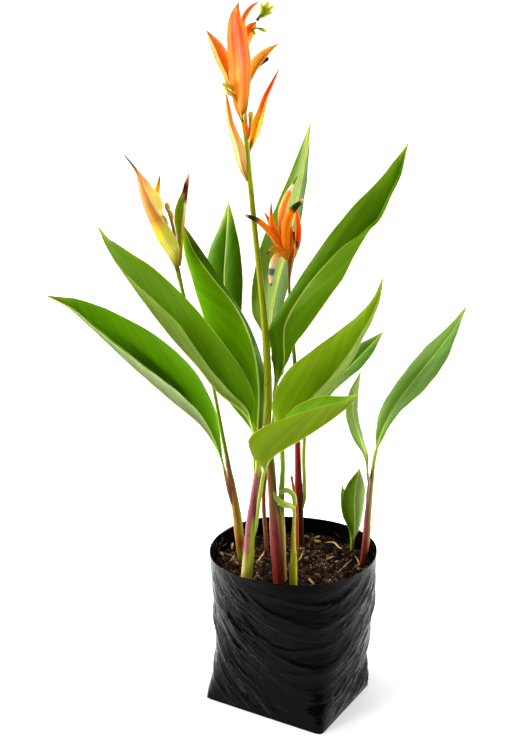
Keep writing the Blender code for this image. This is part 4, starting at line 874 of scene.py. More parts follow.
TOP_BUDS = [
    dict(path=[(-43.5, 0, 634), (-43, -4, 643), (-44, -6, 652), (-44.5, -7, 658), (-44.6, -7, 660.5)],
         radius=[1.4, 1.9, 1.9, 2.3, 2.4],
         stops=[(0, "#D8500A"), (0.66, "#E8600A"), (0.76, "#A87818"), (1, "#D0A848")]),
    dict(path=[(-43, 0, 630), (-40, -2, 642), (-39.2, -3, 653), (-38.7, -3, 661)],
         radius=[1.2, 1.6, 1.9, 2.9], stops=BUD_GOLD),
    dict(path=[(-54, -3, 682), (-61, -6, 689), (-67.2, -7, 692.6)], radius=[0.8, 1.1, 1.7], stops=YELLOW),
    dict(path=[(-54, -3, 684), (-60, -6, 691), (-64.4, -7, 694)], radius=[0.8, 1.1, 1.8], stops=YELLOW),
    dict(path=[(-53, -3, 678), (-60, -7, 685), (-65.3, -9, 689.3)], radius=[0.8, 1.1, 1.8], stops=YELLOW),
    dict(path=[(-53, -3, 674), (-58, -7, 682), (-63.6, -8, 686.4)], radius=[0.8, 1.0, 1.7], stops=YELLOW),
    dict(path=[(-53, -3, 672), (-58, -6, 680), (-62.9, -7, 683.2)], radius=[0.8, 1.0, 1.4], stops=YELLOW),
    dict(path=[(-39, 9, 696), (-30, 13, 707), (-22.4, 13, 714)], radius=[1.2, 1.3, 2.3],
         stops=[(0, "#E0700A"), (0.7, "#8A3A14"), (0.85, "#5A1A10"), (1, "#4A1410")]),
    dict(path=[(-39, 6, 744), (-34, 7, 747), (-29, 8, 746)], radius=[0.7, 0.8, 0.8], stops=FAN_GREEN),
    dict(path=[(-31, 8, 746.6), (-27, 8.5, 745), (-23.3, 9, 743)], radius=[1.0, 1.8, 1.2],
         stops=FAN_STOPS),
    dict(path=[(-37, 6, 744.5), (-35.5, 6.5, 742.5), (-34, 7, 740.6)], radius=[0.8, 1.4, 1.1],
         stops=FAN_STOPS),
]
BUD_FAN = [
    dict(path=[(-32.8, 6.2, 754.7), (-30, 7, 758.5), (-26.5, 8, 763)], radius=[1.8, 1.5, 1.6],
         stops=FAN_GREEN),
    dict(path=[(-30, 7, 758.5), (-27.2, 8, 764.5), (-28.7, 8, 771)], radius=[1.1, 2.1, 1.5],
         stops=FAN_STOPS),
    dict(path=[(-27, 8, 762.5), (-24, 8.5, 768), (-21.5, 9, 772.6)], radius=[1.3, 2.4, 1.8],
         stops=FAN_STOPS),
    dict(path=[(-26.5, 8, 762), (-21, 8.5, 765), (-16.5, 9, 768.6)], radius=[1.2, 2.3, 1.6],
         stops=FAN_STOPS),
    dict(path=[(-30, 7, 757.5), (-25.5, 9, 759.5), (-18.2, 10, 762.1)], radius=[0.8, 1.9, 1.3],
         stops=FAN_STOPS),
]

# %% [markdown]
# The left bloom is younger: a yellow boat that turns rust-coloured towards its tip, three stalked buds in
# front of it and a narrow green bract with a dried tip. The boat and the green bract have margins of their
# own, as leaves do.

# %% Left bloom as lists
LEFT_NECK = dict(path=[(-114.6, 18.6, 477), (-116, 16, 488), (-118, 13, 496)], radius=[2.5, 2.6, 2.4],
                 stops=[(0, "#7F9418"), (20, "#7A5A28")])
LEFT_BOAT = dict(
    rib=[(-116.5, 15, 488), (-125, 9, 506), (-134, 3, 523), (-142, -2, 544), (-149, -4, 562),
         (-153, -6, 580), (-156, -8, 600)],
    left=[(-113.3, 11, 500), (-114, 2, 519), (-120, -5, 536), (-129.5, -10, 552), (-139, -12, 568),
          (-146, -12, 583), (-153, -10.5, 601)],
    right=[(-115, 16, 498), (-123, 16, 514), (-131, 16, 532), (-132, 18, 549), (-130, 15, 562),
           (-142, 8, 583), (-153, -1, 599)],
    tip=(-168, -10, 620.5))
LEFT_INNER_BRACT = dict(
    keel=[(-119, 14, 497), (-127, 22, 525), (-136, 25, 550), (-137.5, 25, 569), (-135.5, 24, 579)],
    half=[2, 4, 4.5, 3.8, 2.6], opens=(0.3, -0.9, 0.2), flank=60, tip=(-133, 22, 591), rim="#F0C030",
    stops=[(0, "#A89A20"), (0.5, "#D8B828"), (0.7, "#FCA80A"), (0.86, "#E8A80A"), (0.92, "#7A9A14"),
           (1, "#5A8A14")])
LEFT_GREEN_BRACT = dict(
    rib=[(-114, 19, 491), (-113, 20, 501), (-113, 21.5, 513), (-112.5, 22.5, 527), (-111, 22.5, 540),
         (-109.5, 22, 551), (-108.5, 21, 562), (-107, 20, 572), (-105.5, 19.5, 582)],
    left=[(-115.4, 18.8, 492), (-115, 19.6, 501), (-115.8, 21, 514), (-117.6, 22, 528),
          (-119.2, 22, 540), (-118.5, 21.5, 551), (-115.2, 20.5, 562), (-110.6, 19.6, 572),
          (-107.9, 19.2, 582)],
    right=[(-112.6, 18.8, 492), (-111, 19.6, 501), (-110.4, 21, 513), (-109, 22, 527), (-107.8, 22, 540),
           (-106.6, 21.5, 551), (-105.4, 20.5, 562), (-104.3, 19.6, 572), (-103.2, 19.2, 582)],
    tip=(-103, 20, 592))
GOLD_STOPS = [(0, "#7A5A18"), (0.5, "#9A7A18"), (0.85, "#A88A20"), (1, "#C8B04A")]
LEFT_BUDS = [
    dict(path=[(-118, 11, 498), (-118, 10, 519), (-121, 8, 540), (-124.2, 7, 553), (-125.4, 7, 558.5),
               (-126, 7, 562)], radius=[1.2, 1.2, 1.2, 1.4, 2.8, 2.2], stops=GOLD_STOPS),
    dict(path=[(-118, 11, 498), (-117, 9, 518), (-118.6, 7.5, 533), (-120.8, 6, 544), (-121.7, 5.5, 550),
               (-122.2, 5, 554)], radius=[1.2, 1.2, 1.2, 1.4, 2.7, 2.0], stops=GOLD_STOPS),
    dict(path=[(-118, 11, 498), (-118, 7, 515), (-122.6, 3, 531), (-126.4, 1, 541), (-128, 0.5, 546),
               (-129.4, 0, 550)], radius=[1.2, 1.3, 1.5, 1.8, 2.9, 2.2], stops=GOLD_STOPS),
]

# %% [markdown]
# The middle bloom is open: orange florets curl out of a short neck. Their dark tips carry pale ends, and
# one that hangs down is pale with a grey ring.

# %% Middle bloom as lists
MID_NECK = dict(path=[(1, 7.4, 492), (1, 5, 505), (-1, 4, 513), (-3, 4, 520)], radius=[2.2, 3.4, 4.6, 3.4],
                stops=[(0, "#6A5A1A"), (10, "#8A4A1A"), (22, "#C8680F"), (30, "#E8780F")])
PETAL = [(0, "#D8680A"), (0.25, "#FC800C"), (0.75, "#FC860C")]
FILAMENT = [(0, "#E89020"), (0.6, "#F0C050"), (0.72, "#8A7A20"), (0.8, "#1E2A14"), (1, "#26301A")]
MID_FLORETS = [
    dict(path=[(-3, 3, 512), (-10, 1, 521), (-20, -4, 536.5), (-32, -8, 549), (-44.5, -10, 555.5)],
         radius=[2.4, 3.6, 3.5, 3.0, 1.5],
         stops=PETAL + [(0.76, "#C8781A"), (0.80, "#5A4A1E"), (0.84, "#1E2A18"), (0.96, "#26301A"),
                        (0.98, "#E8C890"), (1, "#F0D8A0")]),
    dict(path=[(-4, 5, 512), (-11.5, 4, 524), (-16.5, 4, 538), (-18, 4, 551), (-18, 4, 564)],
         radius=[2.4, 4.8, 3.8, 2.0, 0.6],
         stops=PETAL + [(0.8, "#F0600A"), (0.86, "#A8602A"), (1, "#B0805A")]),
    dict(path=[(-8, 9, 521), (-17, 10, 535), (-20.5, 11, 544), (-24.5, 11, 551)],
         radius=[2.2, 2.6, 2.0, 0.8],
         stops=[(0, "#D8600A"), (0.5, "#D8700A"), (0.7, "#8A4A14"), (1, "#D89A60")]),
    dict(path=[(-4, 8, 518), (-6.5, 10, 537), (-5.5, 11, 556), (0, 11, 572), (5, 11, 583), (9, 11, 591)],
         radius=[2.4, 4.0, 4.6, 3.4, 1.1, 0.6],
         stops=[(0, "#D8600A"), (0.3, "#FC8A20"), (0.55, "#FCA850"), (0.76, "#FC9838"), (0.80, "#F8E8D0"),
                (0.87, "#F0E0C0"), (0.89, "#3A2A10"), (0.95, "#6A5A1A"), (1, "#8A6A24")]),
    dict(path=[(-1, 1, 510), (-3, -4, 527), (-2, -7, 546), (4, -9, 560.5), (14.5, -10, 571.5)],
         radius=[2.6, 4.4, 4.8, 4.0, 1.8],
         stops=PETAL + [(0.76, "#D87A14"), (0.80, "#3A3A14"), (0.84, "#1E2A14"), (0.96, "#24300F"),
                        (0.98, "#E0B070"), (1, "#F0C890")]),
    dict(path=[(2.5, 5, 503), (8.5, 7, 516), (10.5, 9, 531), (9.5, 9, 547), (8, 9, 556)],
         radius=[2.4, 3.2, 3.3, 2.3, 0.9], stops=[(0, "#C8580A"), (0.4, "#F8640A"), (1, "#FC6A0A")]),
    dict(path=[(0, 3, 506), (3, 1, 521), (3.5, 1, 533), (2.5, 1, 541)], radius=[2.2, 2.8, 2.2, 1.0],
         stops=[(0, "#E0680A"), (0.6, "#F8780A"), (1, "#FC7A0A")]),
    dict(path=[(4, 2, 501), (6.7, -2, 514), (6, -4, 526), (5.2, -5, 535)], radius=[0.6, 0.7, 1.0, 1.3],
         stops=FILAMENT),
    dict(path=[(4, 2, 501), (8.7, -1, 512), (8.7, -3, 520), (8.7, -4, 525)], radius=[0.6, 0.7, 0.9, 1.1],
         stops=FILAMENT),
    dict(path=[(-1, 1, 508), (-9, -6, 517), (-16, -10, 519), (-22.5, -12, 514)],
         radius=[2.2, 2.6, 2.4, 1.0],
         stops=[(0, "#C8680A"), (0.5, "#E0840F"), (0.85, "#C8780F"), (0.9, "#3A4A10"), (1, "#4A4A14")]),
    dict(path=[(-1, 0, 505), (-8, -6, 513), (-14.5, -12, 508), (-17.8, -15, 495), (-18.2, -16, 482)],
         radius=[2.2, 3.2, 3.6, 3.1, 1.4],
         stops=[(0, "#C8680A"), (0.3, "#F0881A"), (0.45, "#F8B868"), (0.62, "#FCD8A8"), (0.66, "#5A5A60"),
                (0.78, "#6A6468"), (0.81, "#F0C898"), (0.95, "#F5D0A0"), (0.98, "#8A2A1A"), (1, "#5A1A14")]),
]

# %% [markdown]
# A bract is a short blade without a petiole, folded up along its keel. A bud or floret is a swept tube
# with a rounded end.

# %% Bracts and flowers
BRACT_STEPS = 10
BRACT_FOOT = 1.6
BRACT_RIPPLE, BRACT_KEEL, BRACT_ARCH = 0.25, 0.3, -0.14
END_TURNS = (0.5, 1.0, 1.35)  # how far round the dome at a tube's end its last rings lie, in radians


def bract(keel, half, opens, flank, tip, rim, stops, right_stops=None):
    """A boat-shaped bract: both flanks rise from the keel towards the side that it opens to."""
    line = np.array(list(keel) + [tip], float)
    ahead = tangents(line)
    flank = math.radians(flank)
    left, right = [], []
    for i, w in enumerate(half):
        out = unit(np.subtract(opens, ahead[i] * (np.asarray(opens) @ ahead[i])))
        side = np.cross(out, ahead[i])
        left.append(line[i] + w * (math.cos(flank) * out - math.sin(flank) * side))
        right.append(line[i] + w * (math.cos(flank) * out + math.sin(flank) * side))
    shape = dict(rib=keel, left=left, right=right, tip=tip, petiole_radius=BRACT_FOOT,
                 paint=bract_paint(stops, rim, right_stops))
    return blade([], [1.0, 1.0], shape, BRACT_BODY, BRACT_RIPPLE, BRACT_KEEL, BRACT_ARCH, BRACT_STEPS)


def bract_paint(stops, rim, right_stops=None, band=0.55):
    """Colours along a bract, where wanted others on its right half, and its paler margins."""
    rim_colour = linear(rim)

    def paint(u, half, above, out, wide, gone, share, opened):
        colour = along_stops(right_stops if right_stops and half else stops, share)
        pale = smooth(band, 0.5 + 0.5 * band, abs(u)) * smooth(1.0, 0.8, share) * smooth(0.0, 0.3, share)
        return mix(colour, rim_colour, (0.7 * pale)[:, None])

    return paint


def tube_flower(path, radius, stops, sides=14, steps=8, round_end=True):
    """A neck, bud or floret: a tapered tube, coloured along its length by share or by millimetres."""
    rings, angle, gone, radii = sweep(path, radius, steps, sides)
    if round_end:
        forward = unit(np.mean(rings[-1], axis=0) - np.mean(rings[-2], axis=0))
        end = rings[-1] - rings[-1].mean(axis=0)
        caps = [rings[-1].mean(axis=0) + end * math.cos(t) + forward * radii[-1] * 0.8 * math.sin(t)
                for t in END_TURNS]
        rings = np.vstack([rings, np.array(caps)])
        gone = np.append(gone, [gone[-1]] * len(END_TURNS))
        radii = np.append(radii, radii[-1] * np.cos(END_TURNS))
    share = gone / gone[-1] if stops[-1][0] <= 1 else gone
    tint = np.broadcast_to(along_stops(stops, share)[:, None, :], rings.shape)
    lay = np.zeros(rings.shape)
    lay[..., 1] = np.cos(angle * 2)[None, :] * radii[:, None]
    lay[..., 2] = gone[:, None]
    return loft(rings, tint, lay)


def tubes(several):
    """One closed shell for each bud or floret of a list."""
    return [tube_flower(**one) for one in several]


top = [tube_flower(**TOP_AXIS, sides=24)] + [bract(**one) for one in TOP_BRACTS]
make_piece("bloom_top_bracts", top, bract_flesh, ["bloom_top"])
make_piece("bloom_top_flowers", tubes(TOP_BUDS), petal_flesh)
make_piece("bloom_top_bud_fan", tubes(BUD_FAN), petal_flesh, ["bloom_top_buds"])

# %% [markdown]
# The boat and the green bract of the left bloom use the blade directly, with their own margins and with
# colours that differ between the near and the far half. The bright yellow in the lower part of the boat's
# near half and the pale band in the middle of its far half carry a painted highlight over its own yellow.

# %% Left and middle blooms
# Its own yellow, with a painted highlight at 0.16 to 0.34.
boat_near = [(0, "#6A3A18"), (0.08, "#B8AA3A"), (0.16, "#F0E464"), (0.34, "#ECD83C"), (0.45, "#D08A34"),
             (0.62, "#CC8646"), (0.78, "#F08A48"), (0.84, "#C8682A"), (0.9, "#4A3A1C"), (1, "#5A3424")]
# Painted highlight: the pale band at 0.5 to 0.64.
boat_far = [(0, "#8A6A20"), (0.3, "#B0A42A"), (0.42, "#C6BA42"), (0.5, "#D8D078"), (0.64, "#D0CA72"),
            (0.74, "#F0905A"), (0.84, "#C8682A"), (0.9, "#4A3A1C"), (1, "#5A3424")]
green_left = [(0, "#7A7A1A"), (0.1, "#8AA020"), (0.25, "#64A00A"), (0.69, "#5C980A"), (0.75, "#8A8A50"),
              (0.80, "#3A2A1C"), (0.88, "#2A1C14"), (0.94, "#D8B080"), (1, "#A86A4A")]
green_right = [(0, "#A0A020"), (0.12, "#C8B820"), (0.3, "#D8C040"), (0.5, "#F0DC90"), (0.64, "#F8E8C0"),
               (0.71, "#7A3A14"), (0.85, "#5A2A10"), (0.95, "#C89A60"), (1, "#A86A4A")]
LARGE_RIPPLE, LARGE_KEEL, LARGE_STEPS = 0.3, 0.8, 14


def large_bract(shape, foot_radius, paint, arch):
    """A bract with listed margins as a closed shell."""
    shape = dict(shape, petiole_radius=foot_radius, paint=paint)
    return blade([], [1.0, 1.0], shape, BRACT_BODY, LARGE_RIPPLE, LARGE_KEEL, arch, LARGE_STEPS)


green_bract = large_bract(LEFT_GREEN_BRACT, 1.3, bract_paint(green_left, "#A8B040", green_right, 0.9), -0.06)
boat = large_bract(LEFT_BOAT, 2.2, bract_paint(boat_near, "#F0E0A0", boat_far, 0.9), -0.08)
left_neck = tube_flower(**LEFT_NECK, round_end=False)
make_piece("bloom_left_bracts", [left_neck, boat, bract(**LEFT_INNER_BRACT)], bract_flesh,
           ["bloom_left"])
make_piece("bloom_left_flowers", tubes(LEFT_BUDS), petal_flesh)
make_piece("bloom_left_green_blade", [green_bract], bract_flesh, ["bloom_left_green_bract"])
middle = [tube_flower(**MID_NECK, round_end=False)] + tubes(MID_FLORETS)
make_piece("bloom_middle_florets", middle, petal_flesh, ["bloom_middle"])

# %% [markdown]
# The youngest leaf is still a narrow strip. It curls over on itself in a ring and ends in a free tip.

# %% Curled young leaf
CURL = [(7, -48, 234), (6.2, -48, 243), (7, -48.5, 250.6), (5.9, -50, 258.1), (2.5, -52, 263.8),
        (-2.2, -54, 266.4), (-6.5, -55, 265.3), (-8.8, -55, 263.3)]
CURL_TAIL = [(6.3, -48.5, 243.5), (2.1, -52, 247.8), (-2.2, -55, 250.2), (-7.5, -57, 253.6),
             (-11.2, -57, 257.7), (-13.8, -56, 261.9), (-15.1, -55, 265.5)]
YOUNG = [(0, "#A5A640"), (0.4, "#94A634"), (0.8, "#7F9A34"), (1, "#6F8A3A")]
curl = [tube_flower(CURL, [1.7, 1.9, 2.4, 2.6, 2.7, 2.7, 2.6, 2.0], YOUNG),
        tube_flower(CURL_TAIL, [1.8, 3.0, 3.4, 3.4, 2.8, 1.8, 0.6], YOUNG)]
make_piece("leaf_young_curl_strip", curl, living_leaf, ["leaf_young_curl"])

# %% [markdown]
# The grow bag is black polyethylene film, about 0.15 mm thick, welded to a flat bottom with folded sides:
# round at the mouth and square below. Filled with damp mix it is taut in front and slack at its sides and
# back, where it hangs in swags: creases that fall from both sides towards the front. Cloth simulation
# would need minutes for creases this fine, so they are ridged noise, stretched along the swags, that moves
# the points of a lofted shell.

# %% Outline of the grow bag
BAG_HEIGHT = 170.0
BAG_LONG = (127.0, -87.0)  # the bottom's long side, towards the right front
BAG_SHORT = (57.5, 121.5)  # its short side, towards the back
BASE_CENTRE = (1.2, 4.0)
LEAN = 3.0  # how far the slack film leans to the right at half height
BASE_CORNER_POWER = 24  # a superellipse of this power is nearly square
SOFT_CORNER_POWER = 4.5
CORNER_RUN = 0.09  # share of the height over which the square corners go soft
MOUTH_RADIUS = 89.5
MOUTH_CENTRE = (6.5, 6.5)
MOUTH_CORNER = 3.5  # what is left of the corners at the mouth
WAIST = 2.5  # how far the corners are drawn in at half height
FRONT = -80.0  # degrees: where the swags hang lowest, near the front
SWAG_TIERS = 3.1
SWAG_RISE = 1.2
SWAG_HEIGHT = 1.1


def bag_section(share, inset, angles):
    """The bag's outline at a share of its height, drawn in by inset."""
    around = np.column_stack([np.cos(angles), np.sin(angles)])
    halves = np.array([BAG_LONG, BAG_SHORT]).T / 2
    shares = np.abs(np.linalg.solve(halves, around.T))
    power = SOFT_CORNER_POWER + (BASE_CORNER_POWER - SOFT_CORNER_POWER) * math.exp(-share / CORNER_RUN)
    square = (shares ** power).sum(axis=0) ** (-1 / power)
    corner = (square - square.min()) / (square.max() - square.min())
    mouth = MOUTH_RADIUS + MOUTH_CORNER * corner
    ease = share ** 1.3 * (1.9 - 0.9 * share)
    radius = square * (1 - ease) + mouth * ease - WAIST * math.sin(math.pi * share) * corner
    climb = SWAG_RISE * (1 - np.cos(angles - math.radians(FRONT)))
    swag = np.sin(2 * math.pi * (SWAG_TIERS * share - climb))
    radius = radius + SWAG_HEIGHT * math.sin(math.pi * share) * swag - inset
    middle = np.array(MOUTH_CENTRE) * share + np.array(BASE_CENTRE) * (1 - share)
    middle[0] += LEAN * math.sin(math.pi * share)
    return middle + around * radius[:, None]


# %% [markdown]
# Three sizes of ridged noise crumple the film, each with its own spacing round the bag and up the swags.
# The finer ones fade out in front, where the film is taut, and in patches, and all of them fade at the
# bottom fold and at the rim.

# %% Crumpled film
CREASE_RISE = 74.0  # how much higher a crease lies at the sides than in front
# Each size of crease: how often it changes round the bag, its height in millimetres, and an offset.
SIZES = {"broad": (1.4, 20, 5), "middle": (2.8, 9, 11), "fine": (6.5, 4.2, 23)}
TAUT_SHARE, TAUT_SPREAD = 0.75, 34  # what the taut front takes off, and its reach in degrees
DEEPEST = -0.7
RIM_WAVE = 0.8
FILM = 0.35  # a little more than real film, so that the rim shows
FILM_SIDES = 420
FILM_LEVELS = 190
INNER_LEVELS = 24
LOW_SHARES = (0.7, 0.5, 0.25, 0.02)  # plain rings of the inside, where the mix hides it
LOW_INSET = 1.1
BAG_FLOOR = 1.2

film_angles = 2 * math.pi * np.arange(FILM_SIDES) / FILM_SIDES


def swag_height(angle, height):
    """Height that is constant along a swag: the film's creases climb from the front to both sides."""
    return height - CREASE_RISE * (1 - math.cos(angle - math.radians(FRONT)))


def ridges(size, angle, q, sharp):
    """Ridged noise of one size: 1 on a ridge, and falling away to both sides."""
    around, up, offset = SIZES[size]
    place = Vector((math.cos(angle) * around, math.sin(angle) * around, q / up + offset))
    return 1 - sharp * abs(noise.noise(place))


def crumple(angle, height):
    """How far the crumpled film stands out at a place, in millimetres."""
    q = swag_height(angle, height)
    broad = 1.5 * ridges("broad", angle, q, 2)
    finer = 1.1 * ridges("middle", angle, q, 3) + 0.4 * ridges("fine", angle, q, 3)
    patch = 0.5 + noise.noise(Vector((math.cos(angle) * 2.2, math.sin(angle) * 2.2, height / 40)))
    from_front = (math.degrees(angle) - FRONT + 180) % 360 - 180
    taut = 1 - TAUT_SHARE * math.exp(-(from_front / TAUT_SPREAD) ** 2)
    calm = smooth(0, 12, height) * smooth(BAG_HEIGHT + 2, BAG_HEIGHT - 30, height)
    return max(float(calm) * (broad + taut * finer * (0.4 + patch) - 1.1), DEEPEST)


def film_ring(share, inset, wrinkled):
    """One ring of the film at a share of the bag's height."""
    outline = bag_section(share, inset, film_angles)
    height = BAG_HEIGHT * share + RIM_WAVE * np.sin(3 * film_angles + 0.6) * share ** 6
    if wrinkled:
        middle = outline.mean(axis=0)
        push = np.array([crumple(a, BAG_HEIGHT * share) for a in film_angles])
        outline = outline + unit(outline - middle) * push[:, None]
    return np.column_stack([outline, np.broadcast_to(height, len(outline))])


outer_shares = np.linspace(0, 1, FILM_LEVELS)
inner_shares = np.linspace(1, 0.78, INNER_LEVELS)
outer = [film_ring(share, 0, True) for share in outer_shares]
inner = [film_ring(share, FILM, True) for share in inner_shares]
low_wall = [film_ring(share, LOW_INSET, False) for share in LOW_SHARES]
film = np.array(outer + inner + low_wall)
film[-1][:, 2] = BAG_FLOOR
film_height = np.concatenate([outer_shares, inner_shares, LOW_SHARES]) * BAG_HEIGHT
film_lay = np.zeros(film.shape)
film_lay[..., 0] = np.cos(film_angles)[None, :] * MOUTH_RADIUS
film_lay[..., 1] = np.sin(film_angles)[None, :] * MOUTH_RADIUS
film_lay[..., 2] = [[swag_height(a, h) for a in film_angles] for h in film_height]
film_tint = np.broadcast_to(linear("#1B1D1E"), film.shape)


# %% [markdown]
# Blown film is black right through and glossy: almost all that the eye gets from it are reflections. Its
# sharpest creases are thinner than the mesh can carry, so they are bump: thin lines where a stretched
# noise passes through its middle value. Fine dust makes some places duller.

# %% Film material
SLACK_FROM, SLACK_TO = -90.0, -58.0  # lay runs from the taut front to the slack sides


def sharp_lines(tree, lay, changes, width):
    """Height of thin raised creases: where a stretched noise passes through its middle value."""
    waves = stretched_noise(tree, lay, changes, 1.0, 0.2)
    off = add(tree, "ShaderNodeMath", {0: waves, 1: 0.5}, operation="SUBTRACT")
    size = add(tree, "ShaderNodeMath", {0: off.outputs[0]}, operation="ABSOLUTE")
    return add(tree, "ShaderNodeMapRange", {"Value": size.outputs[0], "From Min": 0.0, "From Max": width,
                                            "To Min": 1.0, "To Max": 0.0}, interpolation_type="SMOOTHSTEP")


def film_material():
    """Black blown polyethylene film: glossy, with thin sharp creases along its swags and some dust."""
    made, tree, shader = new_material("black_polyethylene_film", IOR=1.15)
    lay = attribute(tree, "lay", "Vector")
    long_lines = sharp_lines(tree, lay, (0.028, 0.028, 0.085), 0.035)
    short_lines = sharp_lines(tree, lay, (0.06, 0.06, 0.22), 0.05)
    lines = add(tree, "ShaderNodeMath", {0: short_lines.outputs[0], 1: 0.45, 2: long_lines.outputs[0]},
                operation="MULTIPLY_ADD")
    around = add(tree, "ShaderNodeSeparateXYZ", {"Vector": lay})
    slack = add(tree, "ShaderNodeMapRange", {"Value": around.outputs["Y"], "From Min": SLACK_FROM,
                                             "From Max": SLACK_TO, "To Min": 0.25, "To Max": 1.0})
    creases = add(tree, "ShaderNodeMath", {0: lines.outputs[0], 1: slack.outputs[0]}, operation="MULTIPLY")
    dust = stretched_noise(tree, lay, (0.05, 0.05, 0.05), 5.0)
    colour = add(tree, "ShaderNodeValToRGB", {"Fac": dust}, stops=[(0.35, "#010101"), (0.7, "#050505")])
    rough = add(tree, "ShaderNodeMapRange", {"Value": dust, "From Min": 0.3, "From Max": 0.7,
                                             "To Min": 0.05, "To Max": 0.13})
    tree.links.new(rough.outputs[0], shader.inputs["Roughness"])
    wear(tree, shader, colour.outputs["Color"], creases.outputs[0], 0.5, 0.0007)
    return made


black_film = film_material()
make_piece("grow_bag_film", [loft(film, film_tint, film_lay)], black_film, ["grow_bag"])

# %% [markdown]
# Potting mix is loose crumbs of peat and composted bark: matt and damp, dark brown, with some pale fibres
# among them, so each crumb draws its own shade. A lofted heap gives the mix its body; it is painted darker
# than the crumbs, as painted shade in the gaps between them.

# %% Potting mix
SOIL_TOP = 151.0
SOIL_RINGS = 44
SOIL_SIDES = 160
SOIL_EDGE = 0.88  # share of the bag's height at which the mix meets the film
EDGE_INSET, SIDE_INSET = 1.4, 2.4  # gap between mix and film, at the top and below
SIDE_SHARES = (0.02, 0.3, 0.6, 0.8)
HEAP_CENTRE, HEAP_HEIGHT, HEAP_REACH = (-5, -40), 3.5, 38.7
MIX_SHADES = [(0, "#060302"), (0.38, "#160C07"), (0.6, "#3A2416"), (0.76, "#6A4A30"), (0.89, "#A88660"),
              (0.96, "#E0D0B4"), (1, "#F0E8D8")]
# Painted shade: the near-black of the heap stands for the shade in the gaps between crumbs.
GAP_SHADE_TONES = [(0, "#020101"), (0.6, "#0C0704"), (1, "#2A1A10")]


def mix_material(name, stops, roughness):
    """Damp organic crumbs: matt, each with a shade of its own."""
    made, tree, shader = new_material(name, Roughness=roughness, IOR=1.4, Specular_IOR_Level=0.08)
    place = add(tree, "ShaderNodeTexCoord").outputs["Object"]
    grain = add(tree, "ShaderNodeTexNoise", {"Vector": place, "Scale": 900.0, "Detail": 3.0}).outputs["Fac"]
    crumb = add(tree, "ShaderNodeNewGeometry")
    pick = add(tree, "ShaderNodeMath", {0: crumb.outputs["Random Per Island"], 1: grain, 2: grain},
               operation="MULTIPLY_ADD")
    spread = add(tree, "ShaderNodeMapRange", {"Value": pick.outputs[0], "From Min": 0.3, "From Max": 1.35,
                                              "To Min": 0.0, "To Max": 1.0})
    colour = add(tree, "ShaderNodeValToRGB", {"Fac": spread.outputs[0]}, stops=stops)
    wear(tree, shader, colour.outputs["Color"], grain, 0.6, 0.0005)
    return made


damp_mix = mix_material("damp_peat_and_bark_mix", MIX_SHADES, 0.75)
gap_shade_mix = mix_material("painted_shade_between_crumbs", GAP_SHADE_TONES, 0.9)


def soil_height(x, y):
    """Uneven top of the potting mix, heaped a little round the front clump."""
    lumps = 1.3 * np.sin(x / 7.1 + 1.3 * np.sin(y / 9.3)) * np.cos(y / 6.2 + 0.8)
    lumps = lumps + 0.9 * np.sin(x / 3.7 - y / 4.9)
    rough = [1.6 * noise.noise(Vector((a / 3.1, b / 3.1, 0))) for a, b in zip(x, y)]
    off = np.hypot(x - HEAP_CENTRE[0], y - HEAP_CENTRE[1])
    return SOIL_TOP + lumps + np.array(rough) + HEAP_HEIGHT * np.exp(-(off / HEAP_REACH) ** 2)


soil_angles = 2 * math.pi * np.arange(SOIL_SIDES) / SOIL_SIDES
edge = bag_section(SOIL_EDGE, EDGE_INSET, soil_angles)
heart = edge.mean(axis=0)
soil_rings = [np.column_stack([bag_section(s, SIDE_INSET, soil_angles), np.full(SOIL_SIDES, BAG_HEIGHT * s)])
              for s in SIDE_SHARES]
for share in np.linspace(1, 0.02, SOIL_RINGS):
    outline = heart + (edge - heart) * share
    soil_rings.append(np.column_stack([outline, soil_height(*outline.T)]))
soil_rings = np.array(soil_rings)
soil_tint = np.broadcast_to(linear("#241810"), soil_rings.shape)
make_piece("potting_soil_body", [loft(soil_rings, soil_tint, soil_rings)], gap_shade_mix,
           ["potting_soil"])

# %% [markdown]
# Geometry Nodes scatter several thousand crumbs on the mix. Each is an icosphere with its own turn, size
# and stretch, bent by noise, and the tree turns all of them into plain mesh at the end.

# %% Crumb scatter as a node tree


